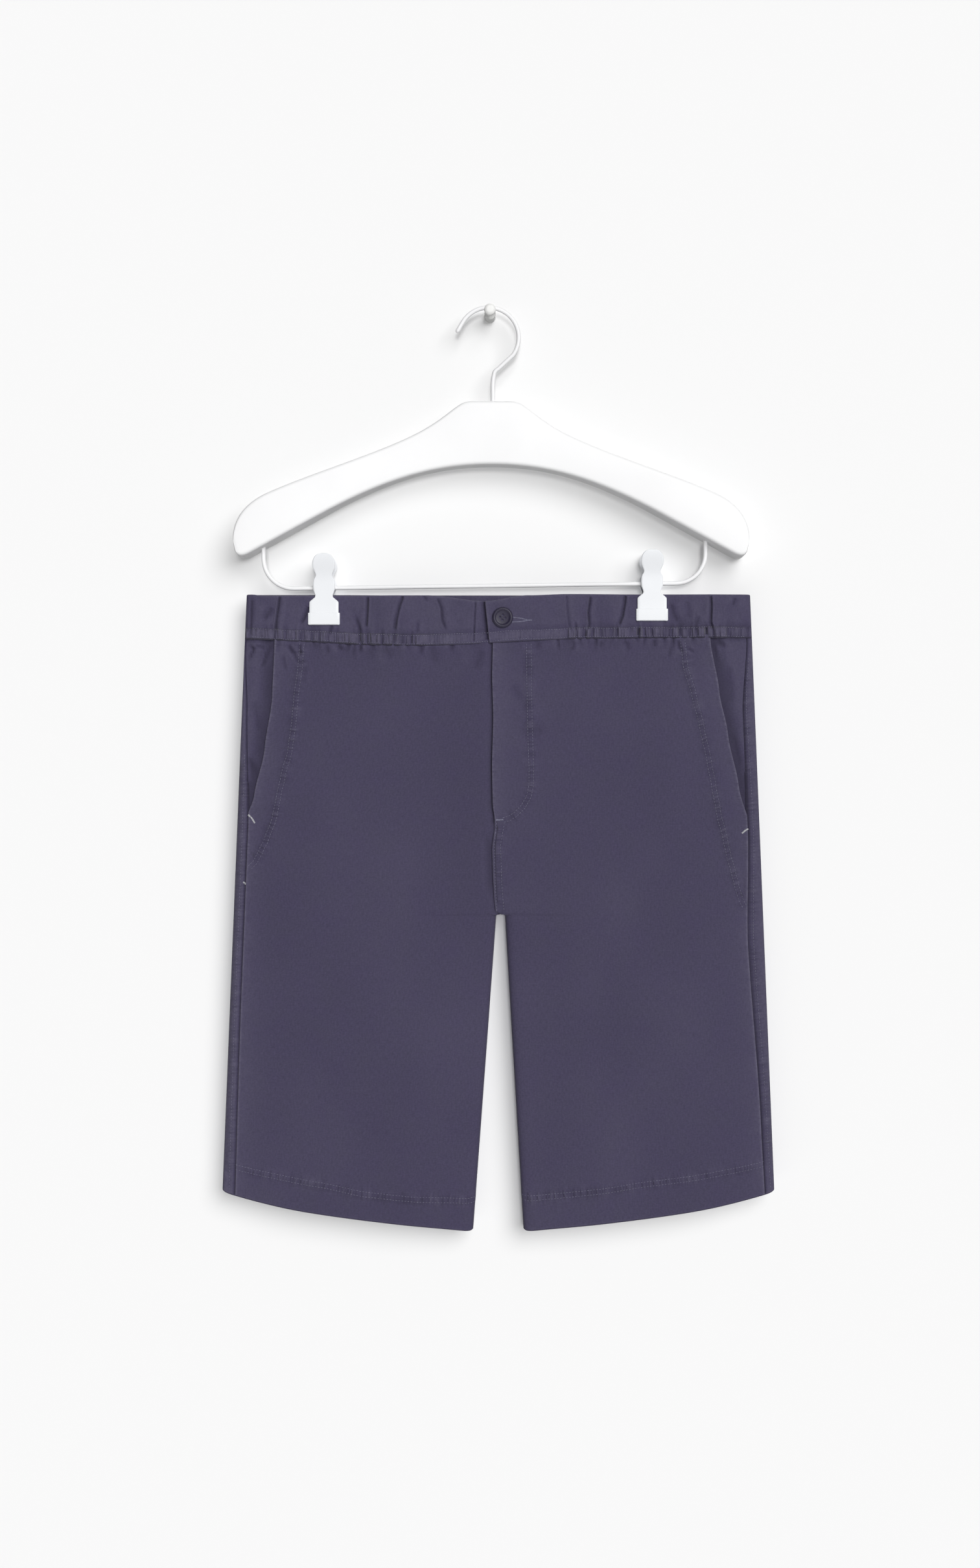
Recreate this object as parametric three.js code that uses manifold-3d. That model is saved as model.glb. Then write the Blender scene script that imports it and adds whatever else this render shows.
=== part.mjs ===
// Bermuda shorts with an elasticated waistband, hung flat by two clips from a shaped hanger on a wall peg.
//
// Millimetres, +Z up, +Y into the wall, and -Y towards whoever looks at the front of the shorts.
// The origin is the centre of the peg's back face, where it meets the wall.
// Right and left are the wearer's, so the right leg lies on the -X side.
//
// The cloth is modelled as one flattened bag. Its outline is drawn from the front, and each of its panels is a
// wall laid on the front or the back of that bag, a seam's gap away from the panels that it is sewn to.

import * as THREE from "three";
import { mergeVertices } from "three/addons/utils/BufferGeometryUtils.js";
import Module from "manifold-3d";

const wasm = await Module();
wasm.setup();

// ---------------------------------------------------------------- driving dimensions

const seamGap = 0.4; // between two pieces that are sewn, or that touch
const clothWall = 1.2; // one layer of twill
const bandWall = 2.4; // the waistband and the hems are folded double
const behindGap = 0.9; // between a panel and the layer behind it

const garment = {
  x: 7.3, // the shorts hang a little to one side on the hanger
  midY: -18, // the plane between the front and the back
  topZ: -246.3, // the top edge of the waistband
  waistHalf: 219, // half the width across the waistband, clipped out flat
  hemHalf: 240, // half the width across both legs at the hems
  sideLength: 518.5, // waistband's top to the hem, down the side
  innerLength: 553, // waistband's top to the hem, at the inside leg
  crotchDepth: 278, // waistband's top to the crotch
  foldRadius: 12, // how far in from its edge the flattened bag reaches its full depth
};

const crotchGap = { x: 2, topHalf: 3.7, hemHalf: 22, archHeight: 5 }; // the gap between the legs
const hemCurve = { rise: 24, kick: 10.5 }; // how the hem climbs from the inside leg to the side
const hemDepth = { right: 28, left: 31 }; // turned up and stitched
const centreFrontX = -5; // the edge of the fly, above the crotch

// Half the depth of the hanging bag, front to back, at some heights below its top edge.
const depthRows = [
  { z: 0, half: 7 },
  { z: -60, half: 8.6 },
  { z: -150, half: 10.8 },
  { z: -300, half: 11.4 },
  { z: -560, half: 11 },
];

// The seam under the waistband, which sags on the right of the fly.
const waistSeam = { z: -38, sag: 7, sagX: -75, spread: 105 };

// How far the back panel comes round the side on to the front, before the side seam.
const stripRows = {
  right: [
    { z: -50, width: 1.5 },
    { z: -100, width: 5 },
    { z: -200, width: 10 },
    { z: -360, width: 10 },
    { z: -560, width: 12 },
  ],
  left: [
    { z: -40, width: 5 },
    { z: -100, width: 11 },
    { z: -210, width: 11 },
    { z: -300, width: 15 },
    { z: -450, width: 10 },
    { z: -560, width: 8.5 },
  ],
};

// The slanting pocket mouths, and the line where each pocket is stitched to the front, from the top down.
const pocketRows = {
  right: [
    { z: -40, mouth: 194.5, stitch: 171.5 },
    { z: -90, mouth: 196.5, stitch: 173.5 },
    { z: -135, mouth: 203, stitch: 179.5 },
    { z: -175, mouth: 212, stitch: 189.5 },
    { z: -198, mouth: 220, stitch: 194.5 },
    { z: -239, mouth: 230, stitch: 214 },
  ],
  left: [
    { z: -40, mouth: 184, stitch: 159.5 },
    { z: -84, mouth: 191.5, stitch: 165 },
    { z: -121, mouth: 199, stitch: 175.5 },
    { z: -167, mouth: 208.5, stitch: 186 },
    { z: -208, mouth: 220, stitch: 193 },
    { z: -277, mouth: 236, stitch: 213 },
  ],
};

// The main creases of the elasticated waistband, across the front. lean is how far the foot is from the top.
const frontPleats = {
  right: [
    { x: -196, lean: -3, depth: 1.2, half: 4 },
    { x: -173, lean: -4, depth: 0.7, half: 5 },
    { x: -117, lean: 0, depth: 1.2, half: 4 },
    { x: -87, lean: -6, depth: 1.3, half: 5 },
    { x: -54, lean: 10, depth: 0.9, half: 5 },
  ],
  left: [
    { x: 78, lean: -2, depth: 1.2, half: 4 },
    { x: 110, lean: -4, depth: 1.3, half: 5 },
    { x: 157, lean: 3, depth: 0.7, half: 4 },
    { x: 184, lean: 0, depth: 1.2, half: 4 },
    { x: 203, lean: -4, depth: 0.7, half: 4 },
  ],
};
const backPleats = { count: 15, spacing: 26.5, wander: 5, depth: 1.1, half: 5 };

const tab = { startX: -11, cornerDrop: 5.6, endX: 59 }; // the waistband's overlap, which buttons over the fly
const underlap = { jogFrom: -20, jogTo: -13, endX: 18, topDrop: 4.5 };
const flyUnderlap = { fromX: -22, toX: 12, footZ: -196 };
const button = { x: 3.6, z: -20.6, radius: 9, thick: 3.2, holeRadius: 0.8, holeAt: 1.9 };
const buttonhole = { length: 23, height: 2.6, threadRadius: 0.95 };

const wire = { radius: 1.9, sides: 8 }; // the hook and the bar
const peg = { length: 29, radius: 5, neckRadius: 1.6, neckFrom: 13, headFrom: 23 };
const hook = {
  x: -1.2, // the centre of its bend
  bendRadius: 26.2,
  footAngle: -35, // degrees, where the bend runs out into the slope down to the shank
  tipAngle: 150,
  tipLength: 10,
  elbow: { x: 4, z: -52.5 },
  shankX: 2.5,
};
const hanger = {
  x: 1,
  topZ: -79.1,
  thick: 20, // at the middle
  shoulderThick: 30,
  bevel: 3,
  shankHole: 24,
  barHole: 9,
};
const bar = {
  left: { x: 187.5, topZ: -197.3, z: -236.3 },
  right: { x: -197, topZ: -198.3, z: -240.8 },
  bendRadius: 26,
};
const clip = {
  plate: 1.5,
  pinch: 4, // half the depth of the waistband between its jaws
  spread: 10, // half the distance between the two finger heads
  barrelRadius: 4,
  barrelLength: 15,
};
const clips = [
  { side: "right", x: -144, z: bar.right.z + 1.2 },
  { side: "left", x: 140.6, z: bar.left.z + 0.2 },
];
// The outline of a clip's plate, from its finger head to its jaw. z is from the bar.
const clipRows = [
  { z: 28.2, half: 2.5 },
  { z: 26.3, half: 6.6 },
  { z: 23, half: 9.2 },
  { z: 18.6, half: 10 },
  { z: 14, half: 9.2 },
  { z: 10.5, half: 7.4 },
  { z: 8.2, half: 7.6 },
  { z: 5, half: 9.2 },
  { z: 0, half: 9.5 },
  { z: -5.5, half: 8.3 },
  { z: -9.5, half: 8.1 },
  { z: -13.2, half: 12.6 },
  { z: -22.8, half: 12.6 },
  { z: -23.2, half: 13.7 },
  { z: -33.3, half: 13.7 },
];

// ---------------------------------------------------------------- materials

function material(colour, roughness, metalness = 0) {
  return new THREE.MeshStandardMaterial({ color: colour, roughness, metalness });
}

const materials = {
  twill: material(0x49455c, 0.9),
  buttonPlastic: material(0x2c2a3a, 0.5),
  thread: material(0x6f6b86, 0.8),
  whitePaint: material(0xf3f3f3, 0.4),
  whiteMetal: material(0xeceef0, 0.35, 0.2),
  pegPaint: material(0xe4e5e2, 0.6),
};

// ---------------------------------------------------------------- small helpers

const mix = (a, b, t) => a + (b - a) * t;
const clamp = (v, low, high) => Math.min(high, Math.max(low, v));

function smooth(t) {
  const s = clamp(t, 0, 1);
  return s * s * (3 - 2 * s);
}

// Reads a column of a short table at some place, smoothly between its rows.
function readRows(rows, at, value, column) {
  const up = rows[0][at] < rows[rows.length - 1][at];
  const list = up ? rows : [...rows].reverse();
  if (value <= list[0][at]) return list[0][column];
  for (let i = 1; i < list.length; i++)
    if (value <= list[i][at]) {
      const t = (value - list[i - 1][at]) / (list[i][at] - list[i - 1][at]);
      return mix(list[i - 1][column], list[i][column], mix(t, smooth(t), 0.5));
    }
  return list[list.length - 1][column];
}

function evenSteps(from, to, count) {
  return Array.from({ length: count + 1 }, (_, i) => mix(from, to, i / count));
}

// A closed wall between two grids of points. rings closes the columns on themselves, as round a leg.
function wallBetween(outer, inner, rings = false) {
  const rows = outer.length;
  const columns = outer[0].length;
  const points = [...outer.flat(), ...inner.flat()];
  const at = (layer, r, c) => layer * rows * columns + r * columns + (c % columns);
  const faces = [];
  const quad = (a, b, c, d) => faces.push([a, b, c], [a, c, d]);
  const lastColumn = rings ? columns : columns - 1;
  for (let r = 0; r < rows - 1; r++)
    for (let c = 0; c < lastColumn; c++) {
      quad(at(0, r, c), at(0, r + 1, c), at(0, r + 1, c + 1), at(0, r, c + 1));
      quad(at(1, r, c), at(1, r, c + 1), at(1, r + 1, c + 1), at(1, r + 1, c));
    }
  for (let c = 0; c < lastColumn; c++) {
    quad(at(0, 0, c), at(0, 0, c + 1), at(1, 0, c + 1), at(1, 0, c));
    quad(at(0, rows - 1, c + 1), at(0, rows - 1, c), at(1, rows - 1, c), at(1, rows - 1, c + 1));
  }
  if (!rings)
    for (let r = 0; r < rows - 1; r++) {
      quad(at(0, r + 1, 0), at(0, r, 0), at(1, r, 0), at(1, r + 1, 0));
      quad(at(0, r, columns - 1), at(0, r + 1, columns - 1), at(1, r + 1, columns - 1), at(1, r, columns - 1));
    }
  return facingOut(points, faces);
}

function facingOut(points, faces) {
  let volume = 0;
  for (const [a, b, c] of faces)
    volume += points[a].clone().cross(points[b]).dot(points[c]);
  const geometry = new THREE.BufferGeometry().setFromPoints(points);
  geometry.setIndex((volume < 0 ? faces.map((f) => [f[0], f[2], f[1]]) : faces).flat());
  return geometry;
}

// ---------------------------------------------------------------- cutting with solids

function toSolid(geometry) {
  const bare = new THREE.BufferGeometry();
  bare.setAttribute("position", geometry.getAttribute("position"));
  if (geometry.index) bare.setIndex(geometry.index);
  const merged = mergeVertices(bare, 1e-3);
  const vertProperties = merged.attributes.position.array;
  const triVerts = new Uint32Array(merged.index.array);
  return new wasm.Manifold(new wasm.Mesh({ numProp: 3, vertProperties, triVerts }));
}

function toGeometry(solid) {
  const mesh = solid.getMesh();
  const positions = new Float32Array(mesh.numVert * 3);
  for (let i = 0; i < mesh.numVert; i++)
    positions.set(mesh.vertProperties.subarray(i * mesh.numProp, i * mesh.numProp + 3), i * 3);
  const geometry = new THREE.BufferGeometry();
  geometry.setAttribute("position", new THREE.BufferAttribute(positions, 3));
  return geometry.setIndex(new THREE.BufferAttribute(mesh.triVerts, 1));
}

function cut(geometry, ...tools) {
  return toGeometry(tools.reduce((solid, tool) => solid.subtract(toSolid(tool)), toSolid(geometry)));
}

// A rod between two points, to drill with or to stand as a pin.
function rod(from, to, radius, sides = 12) {
  const along = to.clone().sub(from);
  const geometry = new THREE.CylinderGeometry(radius, radius, along.length(), sides);
  geometry.applyQuaternion(
    new THREE.Quaternion().setFromUnitVectors(new THREE.Vector3(0, 1, 0), along.normalize()),
  );
  const middle = from.clone().add(to).multiplyScalar(0.5);
  return geometry.translate(middle.x, middle.y, middle.z);
}

// A shape turned about the Y axis. Each profile row is a radius and how far it stands out towards -Y.
function turned(profile) {
  const points = profile.map(([radius, out]) => new THREE.Vector2(radius, -out)).reverse();
  return new THREE.LatheGeometry(points, 24);
}

// ---------------------------------------------------------------- the outline of the shorts
// From here to the hanger, x is from the middle of the shorts, y from the plane between front and back, and z
// from the waistband's top edge.

const legLength = garment.innerLength - garment.crotchDepth;

function outerEdge(z) {
  return mix(garment.waistHalf, garment.hemHalf, -z / garment.sideLength);
}

// Half the width of the gap between the legs, which starts as a small round arch.
function gapHalf(z) {
  const below = -z - garment.crotchDepth;
  if (below <= 0) return 0;
  const arch = Math.sqrt(1 - (1 - Math.min(1, below / crotchGap.archHeight)) ** 2);
  return arch * mix(crotchGap.topHalf, crotchGap.hemHalf, below / legLength);
}

function gapMiddle(z) {
  const below = clamp(-z - garment.crotchDepth, 0, Infinity);
  return crotchGap.x * (1 - below / legLength);
}

function hemZ(x) {
  const t = (Math.abs(x) - crotchGap.hemHalf) / (garment.hemHalf - crotchGap.hemHalf);
  return -garment.innerLength + hemCurve.rise * t + hemCurve.kick * t ** 4;
}

function centreSeam(z) {
  const near = smooth((-z - garment.crotchDepth + 16) / 16);
  return mix(centreFrontX, crotchGap.x, near);
}

function waistSeamZ(x) {
  const { z, sag, sagX, spread } = waistSeam;
  return z - sag * Math.exp(-(((x - sagX) / spread) ** 2));
}

const stripWidth = (side, z) => readRows(stripRows[side], "z", z, "width");
const sideSeam = (side, z) => outerEdge(z) - stripWidth(side, z);
function pocketMouth(side, z) {
  const rows = pocketRows[side];
  const seam = sideSeam(side, z);
  return z < rows[rows.length - 1].z ? seam : Math.min(readRows(rows, "z", z, "mouth"), seam);
}

const signOf = (side) => (side === "right" ? -1 : 1);

// ---------------------------------------------------------------- the depth of the shorts

const roundness = (distance) => 1 - clamp(distance / garment.foldRadius, 0, 1);
const fold = (distance) => Math.sqrt(1 - roundness(distance) ** 2);

// The clips hold the waistband nearly shut, and the bag opens away from them.
function pinched(x, z) {
  let open = 1;
  for (const { x: clipX } of clips) {
    const aside = smooth((Math.abs(x - (clipX - garment.x)) - 18) / 45);
    const below = smooth((-z - 34) / 90);
    open = Math.min(open, 1 - (1 - aside) * (1 - below));
  }
  return open;
}

// How far a place is from the crotch or the gap between the legs, and the way that leads away from it.
function awayFromGap(x, z) {
  const above = z + garment.crotchDepth;
  const aside = x - gapMiddle(z);
  if (above <= 0) return { distance: Math.abs(aside) - gapHalf(z), x: Math.sign(aside) || 1, z: 0 };
  const distance = Math.hypot(aside, above);
  return { distance, x: aside / distance, z: above / distance };
}

// A point on the front (face -1) or the back (face 1), sunk into the bag along its normal by `sink`.
function onBag(face, x, z, sink = 0) {
  const half = mix(clip.pinch, readRows(depthRows, "z", z, "half"), pinched(x, z));
  const side = outerEdge(z) - Math.abs(x);
  const gap = awayFromGap(x, z);
  const atSide = fold(side);
  const atGap = fold(gap.distance);
  const steep = half / garment.foldRadius;
  const offSide = steep * roundness(side) * atGap ** 2;
  const offGap = steep * roundness(gap.distance) * atSide ** 2;
  const inwardX = -Math.sign(x) * offSide + gap.x * offGap;
  const inward = new THREE.Vector3(inwardX, -face * Math.max(atSide * atGap, 1e-4), gap.z * offGap);
  const point = new THREE.Vector3(x, face * (half * atSide * atGap + seamGap / 2), z);
  return point.addScaledVector(inward.normalize(), sink);
}

// ---------------------------------------------------------------- cloth panels

// Rows of a panel, from 1 at the seam under the waistband, through 0 level with the crotch, to -1 at the hem.
const panelRows = [
  ...evenSteps(1, 0.16, 9),
  0.07,
  0.025,
  0,
  ...[0.12, 0.45, 1].map((t) => (-t * crotchGap.archHeight) / legLength),
  ...evenSteps(-0.09, -1, 7),
];

function rowHeight(row, x, side) {
  const endZ = row > 0 ? waistSeamZ(x) - seamGap / 2 : hemZ(x) + hemDepth[side] - seamGap / 2;
  return mix(-garment.crotchDepth, endZ, Math.abs(row));
}

// The place along a row where it meets an edge that depends on height.
function meet(row, edge, side) {
  let x = edge(-garment.crotchDepth * (1 - row));
  for (let i = 0; i < 6; i++) x = edge(rowHeight(row, x, side));
  return x;
}

// Columns from one edge to another, closer together at an edge where the cloth folds round.
function columnPlaces(count, foldAtStart, foldAtEnd) {
  return evenSteps(0, 1, count).map((t) => {
    if (foldAtStart && foldAtEnd) return (1 - Math.cos(t * Math.PI)) / 2;
    if (foldAtStart) return 1 - Math.cos((t * Math.PI) / 2);
    if (foldAtEnd) return Math.sin((t * Math.PI) / 2);
    return t;
  });
}

// A panel's edge along the middle seam, and then along the inside leg.
const innerEdge = (side) => (z) => {
  const sign = signOf(side);
  if (z > -garment.crotchDepth) return centreSeam(z) + (sign * seamGap) / 2;
  return gapMiddle(z) + sign * Math.max(gapHalf(z), seamGap / 2);
};

// Points of a panel, row by row. Each stretch of a row lies on one face of the bag, between two edges.
function panelGrid(side, sink, stretches) {
  return panelRows.map((row) =>
    stretches.flatMap(({ face, from, to, places }) => {
      const start = meet(row, from, side);
      const end = meet(row, to, side);
      return places.map((t) => {
        const x = mix(start, end, t);
        return onBag(face, x, rowHeight(row, x, side), sink);
      });
    }),
  );
}

function panel(side, stretches) {
  return wallBetween(panelGrid(side, 0, stretches), panelGrid(side, clothWall, stretches));
}

function frontPanel(side) {
  const mouth = (z) => signOf(side) * pocketMouth(side, z);
  const places = columnPlaces(12, true, false);
  return panel(side, [{ face: -1, from: innerEdge(side), to: mouth, places }]);
}

// The back panel starts on the front, at the side seam, and goes round the side fold to the middle seam.
function backPanel(side) {
  const sign = signOf(side);
  const seam = (z) => sign * (sideSeam(side, z) + seamGap);
  const rim = (z) => sign * outerEdge(z);
  const backPlaces = columnPlaces(13, true, true).slice(1);
  return panel(side, [
    { face: -1, from: seam, to: rim, places: columnPlaces(4, false, true) },
    { face: 1, from: rim, to: innerEdge(side), places: backPlaces },
  ]);
}

// The hem is turned up inside, so it is a ring of two layers that carries on the line of the leg.
function hemRing(side) {
  const sign = signOf(side);
  const places = columnPlaces(18, true, true);
  const drops = [0, 0.5, 1];
  const ring = (drop, sink) => {
    const height = (x) => mix(hemZ(x) + hemDepth[side] - 2 * seamGap, hemZ(x), drop);
    const settle = (edge) => {
      let x = edge(-garment.sideLength);
      for (let i = 0; i < 6; i++) x = edge(height(x));
      return x;
    };
    const inside = settle((z) => gapMiddle(z) + sign * gapHalf(z));
    const outside = settle((z) => sign * outerEdge(z));
    const along = (face, list) =>
      list.map((t) => onBag(face, mix(inside, outside, t), height(mix(inside, outside, t)), sink));
    return [...along(-1, places), ...along(1, [...places].reverse().slice(1, -1))];
  };
  const grid = (sink) => drops.map((drop) => ring(drop, sink));
  return wallBetween(grid(0), grid(bandWall), true);
}

// A pocket: the layer that shows in its mouth, and runs on behind the front as far as its stitching.
function pocket(side) {
  const sign = signOf(side);
  const rows = pocketRows[side];
  const footZ = rows[rows.length - 1].z;
  const heights = evenSteps(0, 1, 14);
  const grid = (sink) =>
    heights.map((t) =>
      columnPlaces(6, false, false).map((place) => {
        const z0 = mix(-40, footZ, t);
        const from = readRows(rows, "z", z0, "stitch");
        const to = sideSeam(side, z0) - 0.1;
        const x = sign * mix(from, Math.max(to, from + 1.5), place);
        const z = mix(waistSeamZ(x) - seamGap, footZ, t);
        return onBag(-1, x, z, sink);
      }),
    );
  const depth = clothWall + behindGap;
  return wallBetween(grid(depth), grid(depth + clothWall));
}

function flyUnderlapPanel() {
  const { fromX, toX, footZ } = flyUnderlap;
  const grid = (sink) =>
    evenSteps(0, 1, 10).map((t) =>
      evenSteps(fromX, toX, 5).map((x) => onBag(-1, x, mix(waistSeamZ(x) - seamGap, footZ, t), sink)),
    );
  const depth = clothWall + behindGap;
  return wallBetween(grid(depth), grid(depth + clothWall));
}

// ---------------------------------------------------------------- waistband

// How far a crease draws the waistband in, at some place.
function pleatAt(pleats, x, drop) {
  let sink = 0;
  for (const p of pleats) {
    const aside = Math.abs(x - p.x - p.lean * drop) / p.half;
    sink = Math.max(sink, p.depth * (1 - smooth(aside)));
  }
  return sink;
}

// A column on each side of every crease and one in it, and plain columns in between.
function bandColumns(from, to, pleats, extra = []) {
  const marks = [from, to, ...extra];
  for (const p of pleats) marks.push(p.x - p.half, p.x, p.x + p.half);
  const sorted = marks.filter((x) => x >= from && x <= to).sort((a, b) => a - b);
  const columns = [sorted[0]];
  for (const x of sorted.slice(1)) {
    const last = columns[columns.length - 1];
    const parts = Math.ceil((x - last) / 22);
    if (x - last > 0.6) columns.push(...evenSteps(last, x, parts).slice(1));
  }
  return columns;
}

const bandDrops = [0, 0.35, 0.8, 1];

// face -1 is the front. recess sinks the band behind another one that laps over it.
function bandPiece({ face, columns, pleats, topDrop = () => 0, recess = () => 0 }) {
  const grid = (sink) =>
    bandDrops.map((drop) =>
      columns.map((x0) => {
        const lean = pleats.find((p) => Math.abs(x0 - p.x) <= p.half + 0.01)?.lean ?? 0;
        const leaned = x0 + lean * drop;
        const z = mix(-topDrop(x0), waistSeamZ(leaned) + seamGap / 2, drop);
        const edge = outerEdge(z);
        const x = clamp(leaned, -edge, edge);
        return onBag(face, x, z, sink + recess(x) + pleatAt(pleats, x, drop));
      }),
    );
  return wallBetween(grid(0), grid(bandWall));
}

// Columns at the side folds, where the band turns from the front to the back.
const foldColumns = [0, 0.6, 2.4, 5.4, 9.5, 14];
const atRightFold = foldColumns.map((d) => -garment.waistHalf + d);
const atLeftFold = foldColumns.map((d) => garment.waistHalf - d);

function rightBand() {
  const pleats = frontPleats.right;
  const { jogFrom, jogTo, endX, topDrop } = underlap;
  const behind = bandWall + seamGap;
  return bandPiece({
    face: -1,
    pleats,
    columns: bandColumns(-garment.waistHalf, endX, pleats, [...atRightFold, jogFrom, jogTo, tab.startX, 0]),
    topDrop: (x) => topDrop * smooth((x + 75) / 60),
    recess: (x) => behind * smooth((x - jogFrom) / (jogTo - jogFrom)),
  });
}

function leftBand() {
  const pleats = frontPleats.left;
  const band = bandPiece({
    face: -1,
    pleats,
    columns: bandColumns(tab.startX, garment.waistHalf, pleats, [...atLeftFold, 0, 20, tab.endX]),
    topDrop: (x) => tab.cornerDrop * (1 - smooth((x - tab.startX) / (tab.endX - tab.startX))),
  });
  const slot = new THREE.BoxGeometry(buttonhole.length, 12, buttonhole.height);
  slot.translate(button.x - 2 + buttonhole.length / 2, -6, button.z);
  return cut(band, slot);
}

function backBand() {
  const pleats = Array.from({ length: backPleats.count }, (_, i) => ({
    x: (i - (backPleats.count - 1) / 2) * backPleats.spacing + backPleats.wander * Math.sin(i * 2.3),
    lean: 4 * Math.sin(i * 1.7),
    depth: backPleats.depth * (0.7 + 0.3 * Math.cos(i * 1.9)),
    half: backPleats.half,
  }));
  const half = garment.waistHalf;
  return bandPiece({
    face: 1,
    pleats,
    columns: bandColumns(-half, half, pleats, [...atRightFold, ...atLeftFold]),
  });
}

// ---------------------------------------------------------------- button

function frontOfTab() {
  return onBag(-1, button.x, button.z).y;
}

function buttonDisc() {
  const { radius, thick, holeRadius, holeAt } = button;
  const back = frontOfTab() - 1.5 * seamGap;
  const disc = turned([
    [0, 0],
    [radius - 1.6, 0],
    [radius, 1.4],
    [radius - 0.5, thick - 0.4],
    [radius - 1.6, thick],
    [radius - 2.8, thick - 1],
    [0, thick - 1],
  ]).translate(button.x, back, button.z);
  const holes = [0, 1, 2, 3].map((i) => {
    const angle = (i + 0.5) * (Math.PI / 2);
    const x = button.x + holeAt * Math.cos(angle);
    const z = button.z + holeAt * Math.sin(angle);
    return rod(new THREE.Vector3(x, back + 5, z), new THREE.Vector3(x, back - 10, z), holeRadius, 8);
  });
  return cut(disc, ...holes);
}

// The shank of thread that goes through the buttonhole, from the button to the band underneath.
function buttonThread() {
  const front = frontOfTab();
  const start = new THREE.Vector3(button.x, front, button.z);
  const end = new THREE.Vector3(button.x, front + bandWall, button.z);
  return rod(start, end, buttonhole.threadRadius, 10);
}

// ---------------------------------------------------------------- hanger, peg and clips
// From here on, places are in the part's own frame.

function wallPeg() {
  const { length, radius, neckRadius, neckFrom, headFrom } = peg;
  return turned([
    [0, 0],
    [radius, 0],
    [radius, neckFrom - 1],
    [neckRadius, neckFrom],
    [neckRadius, headFrom - 1],
    [radius, headFrom],
    [radius, length - 2.2],
    [radius - 1, length - 0.6],
    [radius - 2.4, length],
    [0, length],
  ]);
}

// A round wire along a list of points.
function wireAlong(points, steps) {
  const path = new THREE.CatmullRomCurve3(points, false, "centripetal");
  const round = new THREE.Shape().absarc(0, 0, wire.radius, 0, 2 * Math.PI, false);
  return new THREE.ExtrudeGeometry(round, {
    steps,
    extrudePath: path,
    curveSegments: wire.sides / 2,
  });
}

const wireY = garment.midY;
const place = (x, z, y = wireY) => new THREE.Vector3(x, y, z);

function hangerHook() {
  const { x, bendRadius, footAngle, tipAngle, tipLength, elbow, shankX } = hook;
  const centreZ = peg.neckRadius + seamGap + wire.radius - bendRadius;
  const onBend = (degrees) => {
    const angle = THREE.MathUtils.degToRad(degrees);
    return place(x + bendRadius * Math.cos(angle), centreZ + bendRadius * Math.sin(angle));
  };
  const bend = evenSteps(footAngle, tipAngle, 14).map(onBend);
  const tip = bend[bend.length - 1].clone();
  const angle = THREE.MathUtils.degToRad(tipAngle + 90);
  tip.add(place(tipLength * Math.cos(angle), tipLength * Math.sin(angle), 0));
  const footZ = hanger.topZ - hanger.shankHole + seamGap;
  const shank = [place(shankX, footZ), place(shankX, hanger.topZ), place(shankX, elbow.z - 8)];
  return wireAlong([...shank, place(elbow.x, elbow.z), ...bend, tip], 46);
}

// The hanger's outline from the front, from the middle of its top edge round to the middle of its arch and back.
// z is from its top.
function hangerOutline() {
  const half = (sign) => {
    const p = (x, z) => new THREE.Vector2(sign * x, z);
    return [
      new THREE.LineCurve(p(0, 0), p(18, 0)),
      new THREE.CubicBezierCurve(p(18, 0), p(30, -0.7), p(34, -11.2), p(62, -26.7)),
      new THREE.CubicBezierCurve(p(62, -26.7), p(96, -44.7), p(150, -61.2), p(190, -78.7)),
      new THREE.CubicBezierCurve(p(190, -78.7), p(212, -87.7), p(226, -103.2), p(222.5, -127.2)),
      new THREE.CubicBezierCurve(p(222.5, -127.2), p(221.5, -136.2), p(217.5, -141.2), p(210, -133)),
      new THREE.LineCurve(p(210, -133), p(140, -94.7)),
      new THREE.CubicBezierCurve(p(140, -94.7), p(92, -69.2), p(52, -55), p(0, -55)),
    ].flatMap((curve) => curve.getPoints(curve.isLineCurve ? 1 : 9).slice(1));
  };
  const left = half(1);
  const right = half(-1).reverse().slice(1);
  return new THREE.Shape([new THREE.Vector2(0, 0), ...left, ...right]);
}

function hangerBody() {
  const { x, topZ, thick, shoulderThick, bevel, shankHole, barHole } = hanger;
  const body = new THREE.ExtrudeGeometry(hangerOutline(), {
    depth: thick - 2 * bevel,
    bevelThickness: bevel,
    bevelSize: bevel * 0.7,
    bevelOffset: -bevel * 0.7,
    bevelSegments: 2,
  });
  body.translate(0, 0, bevel - thick / 2).rotateX(Math.PI / 2);
  const points = body.getAttribute("position");
  for (let i = 0; i < points.count; i++) {
    const out = smooth((Math.abs(points.getX(i)) - 40) / 150);
    points.setY(i, points.getY(i) * mix(1, shoulderThick / thick, out));
  }
  body.translate(x, wireY, topZ);
  const clear = wire.radius + seamGap;
  const holes = [rod(place(hook.shankX, topZ - shankHole), place(hook.shankX, topZ + 5), clear)];
  for (const end of [bar.left, bar.right])
    holes.push(rod(place(end.x, end.topZ + seamGap), place(end.x, end.topZ - barHole - 20), clear));
  return cut(body, ...holes);
}

function hangerBar() {
  const { left, right, bendRadius } = bar;
  const corner = (end, sign) =>
    evenSteps(0, 90, 4).map((degrees) => {
      const angle = THREE.MathUtils.degToRad(degrees);
      const x = end.x - sign * bendRadius * (1 - Math.cos(angle));
      return place(x, end.z + bendRadius * (1 - Math.sin(angle)));
    });
  const rightEnd = [place(right.x, right.topZ), place(right.x, right.topZ - 8), ...corner(right, -1)];
  const leftEnd = [place(left.x, left.topZ), place(left.x, left.topZ - 8), ...corner(left, 1)].reverse();
  const from = rightEnd[rightEnd.length - 1];
  const across = evenSteps(0.04, 0.96, 8).map((t) => from.clone().lerp(leftEnd[0], t));
  return wireAlong([...rightEnd, ...across, ...leftEnd], 60);
}

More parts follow.
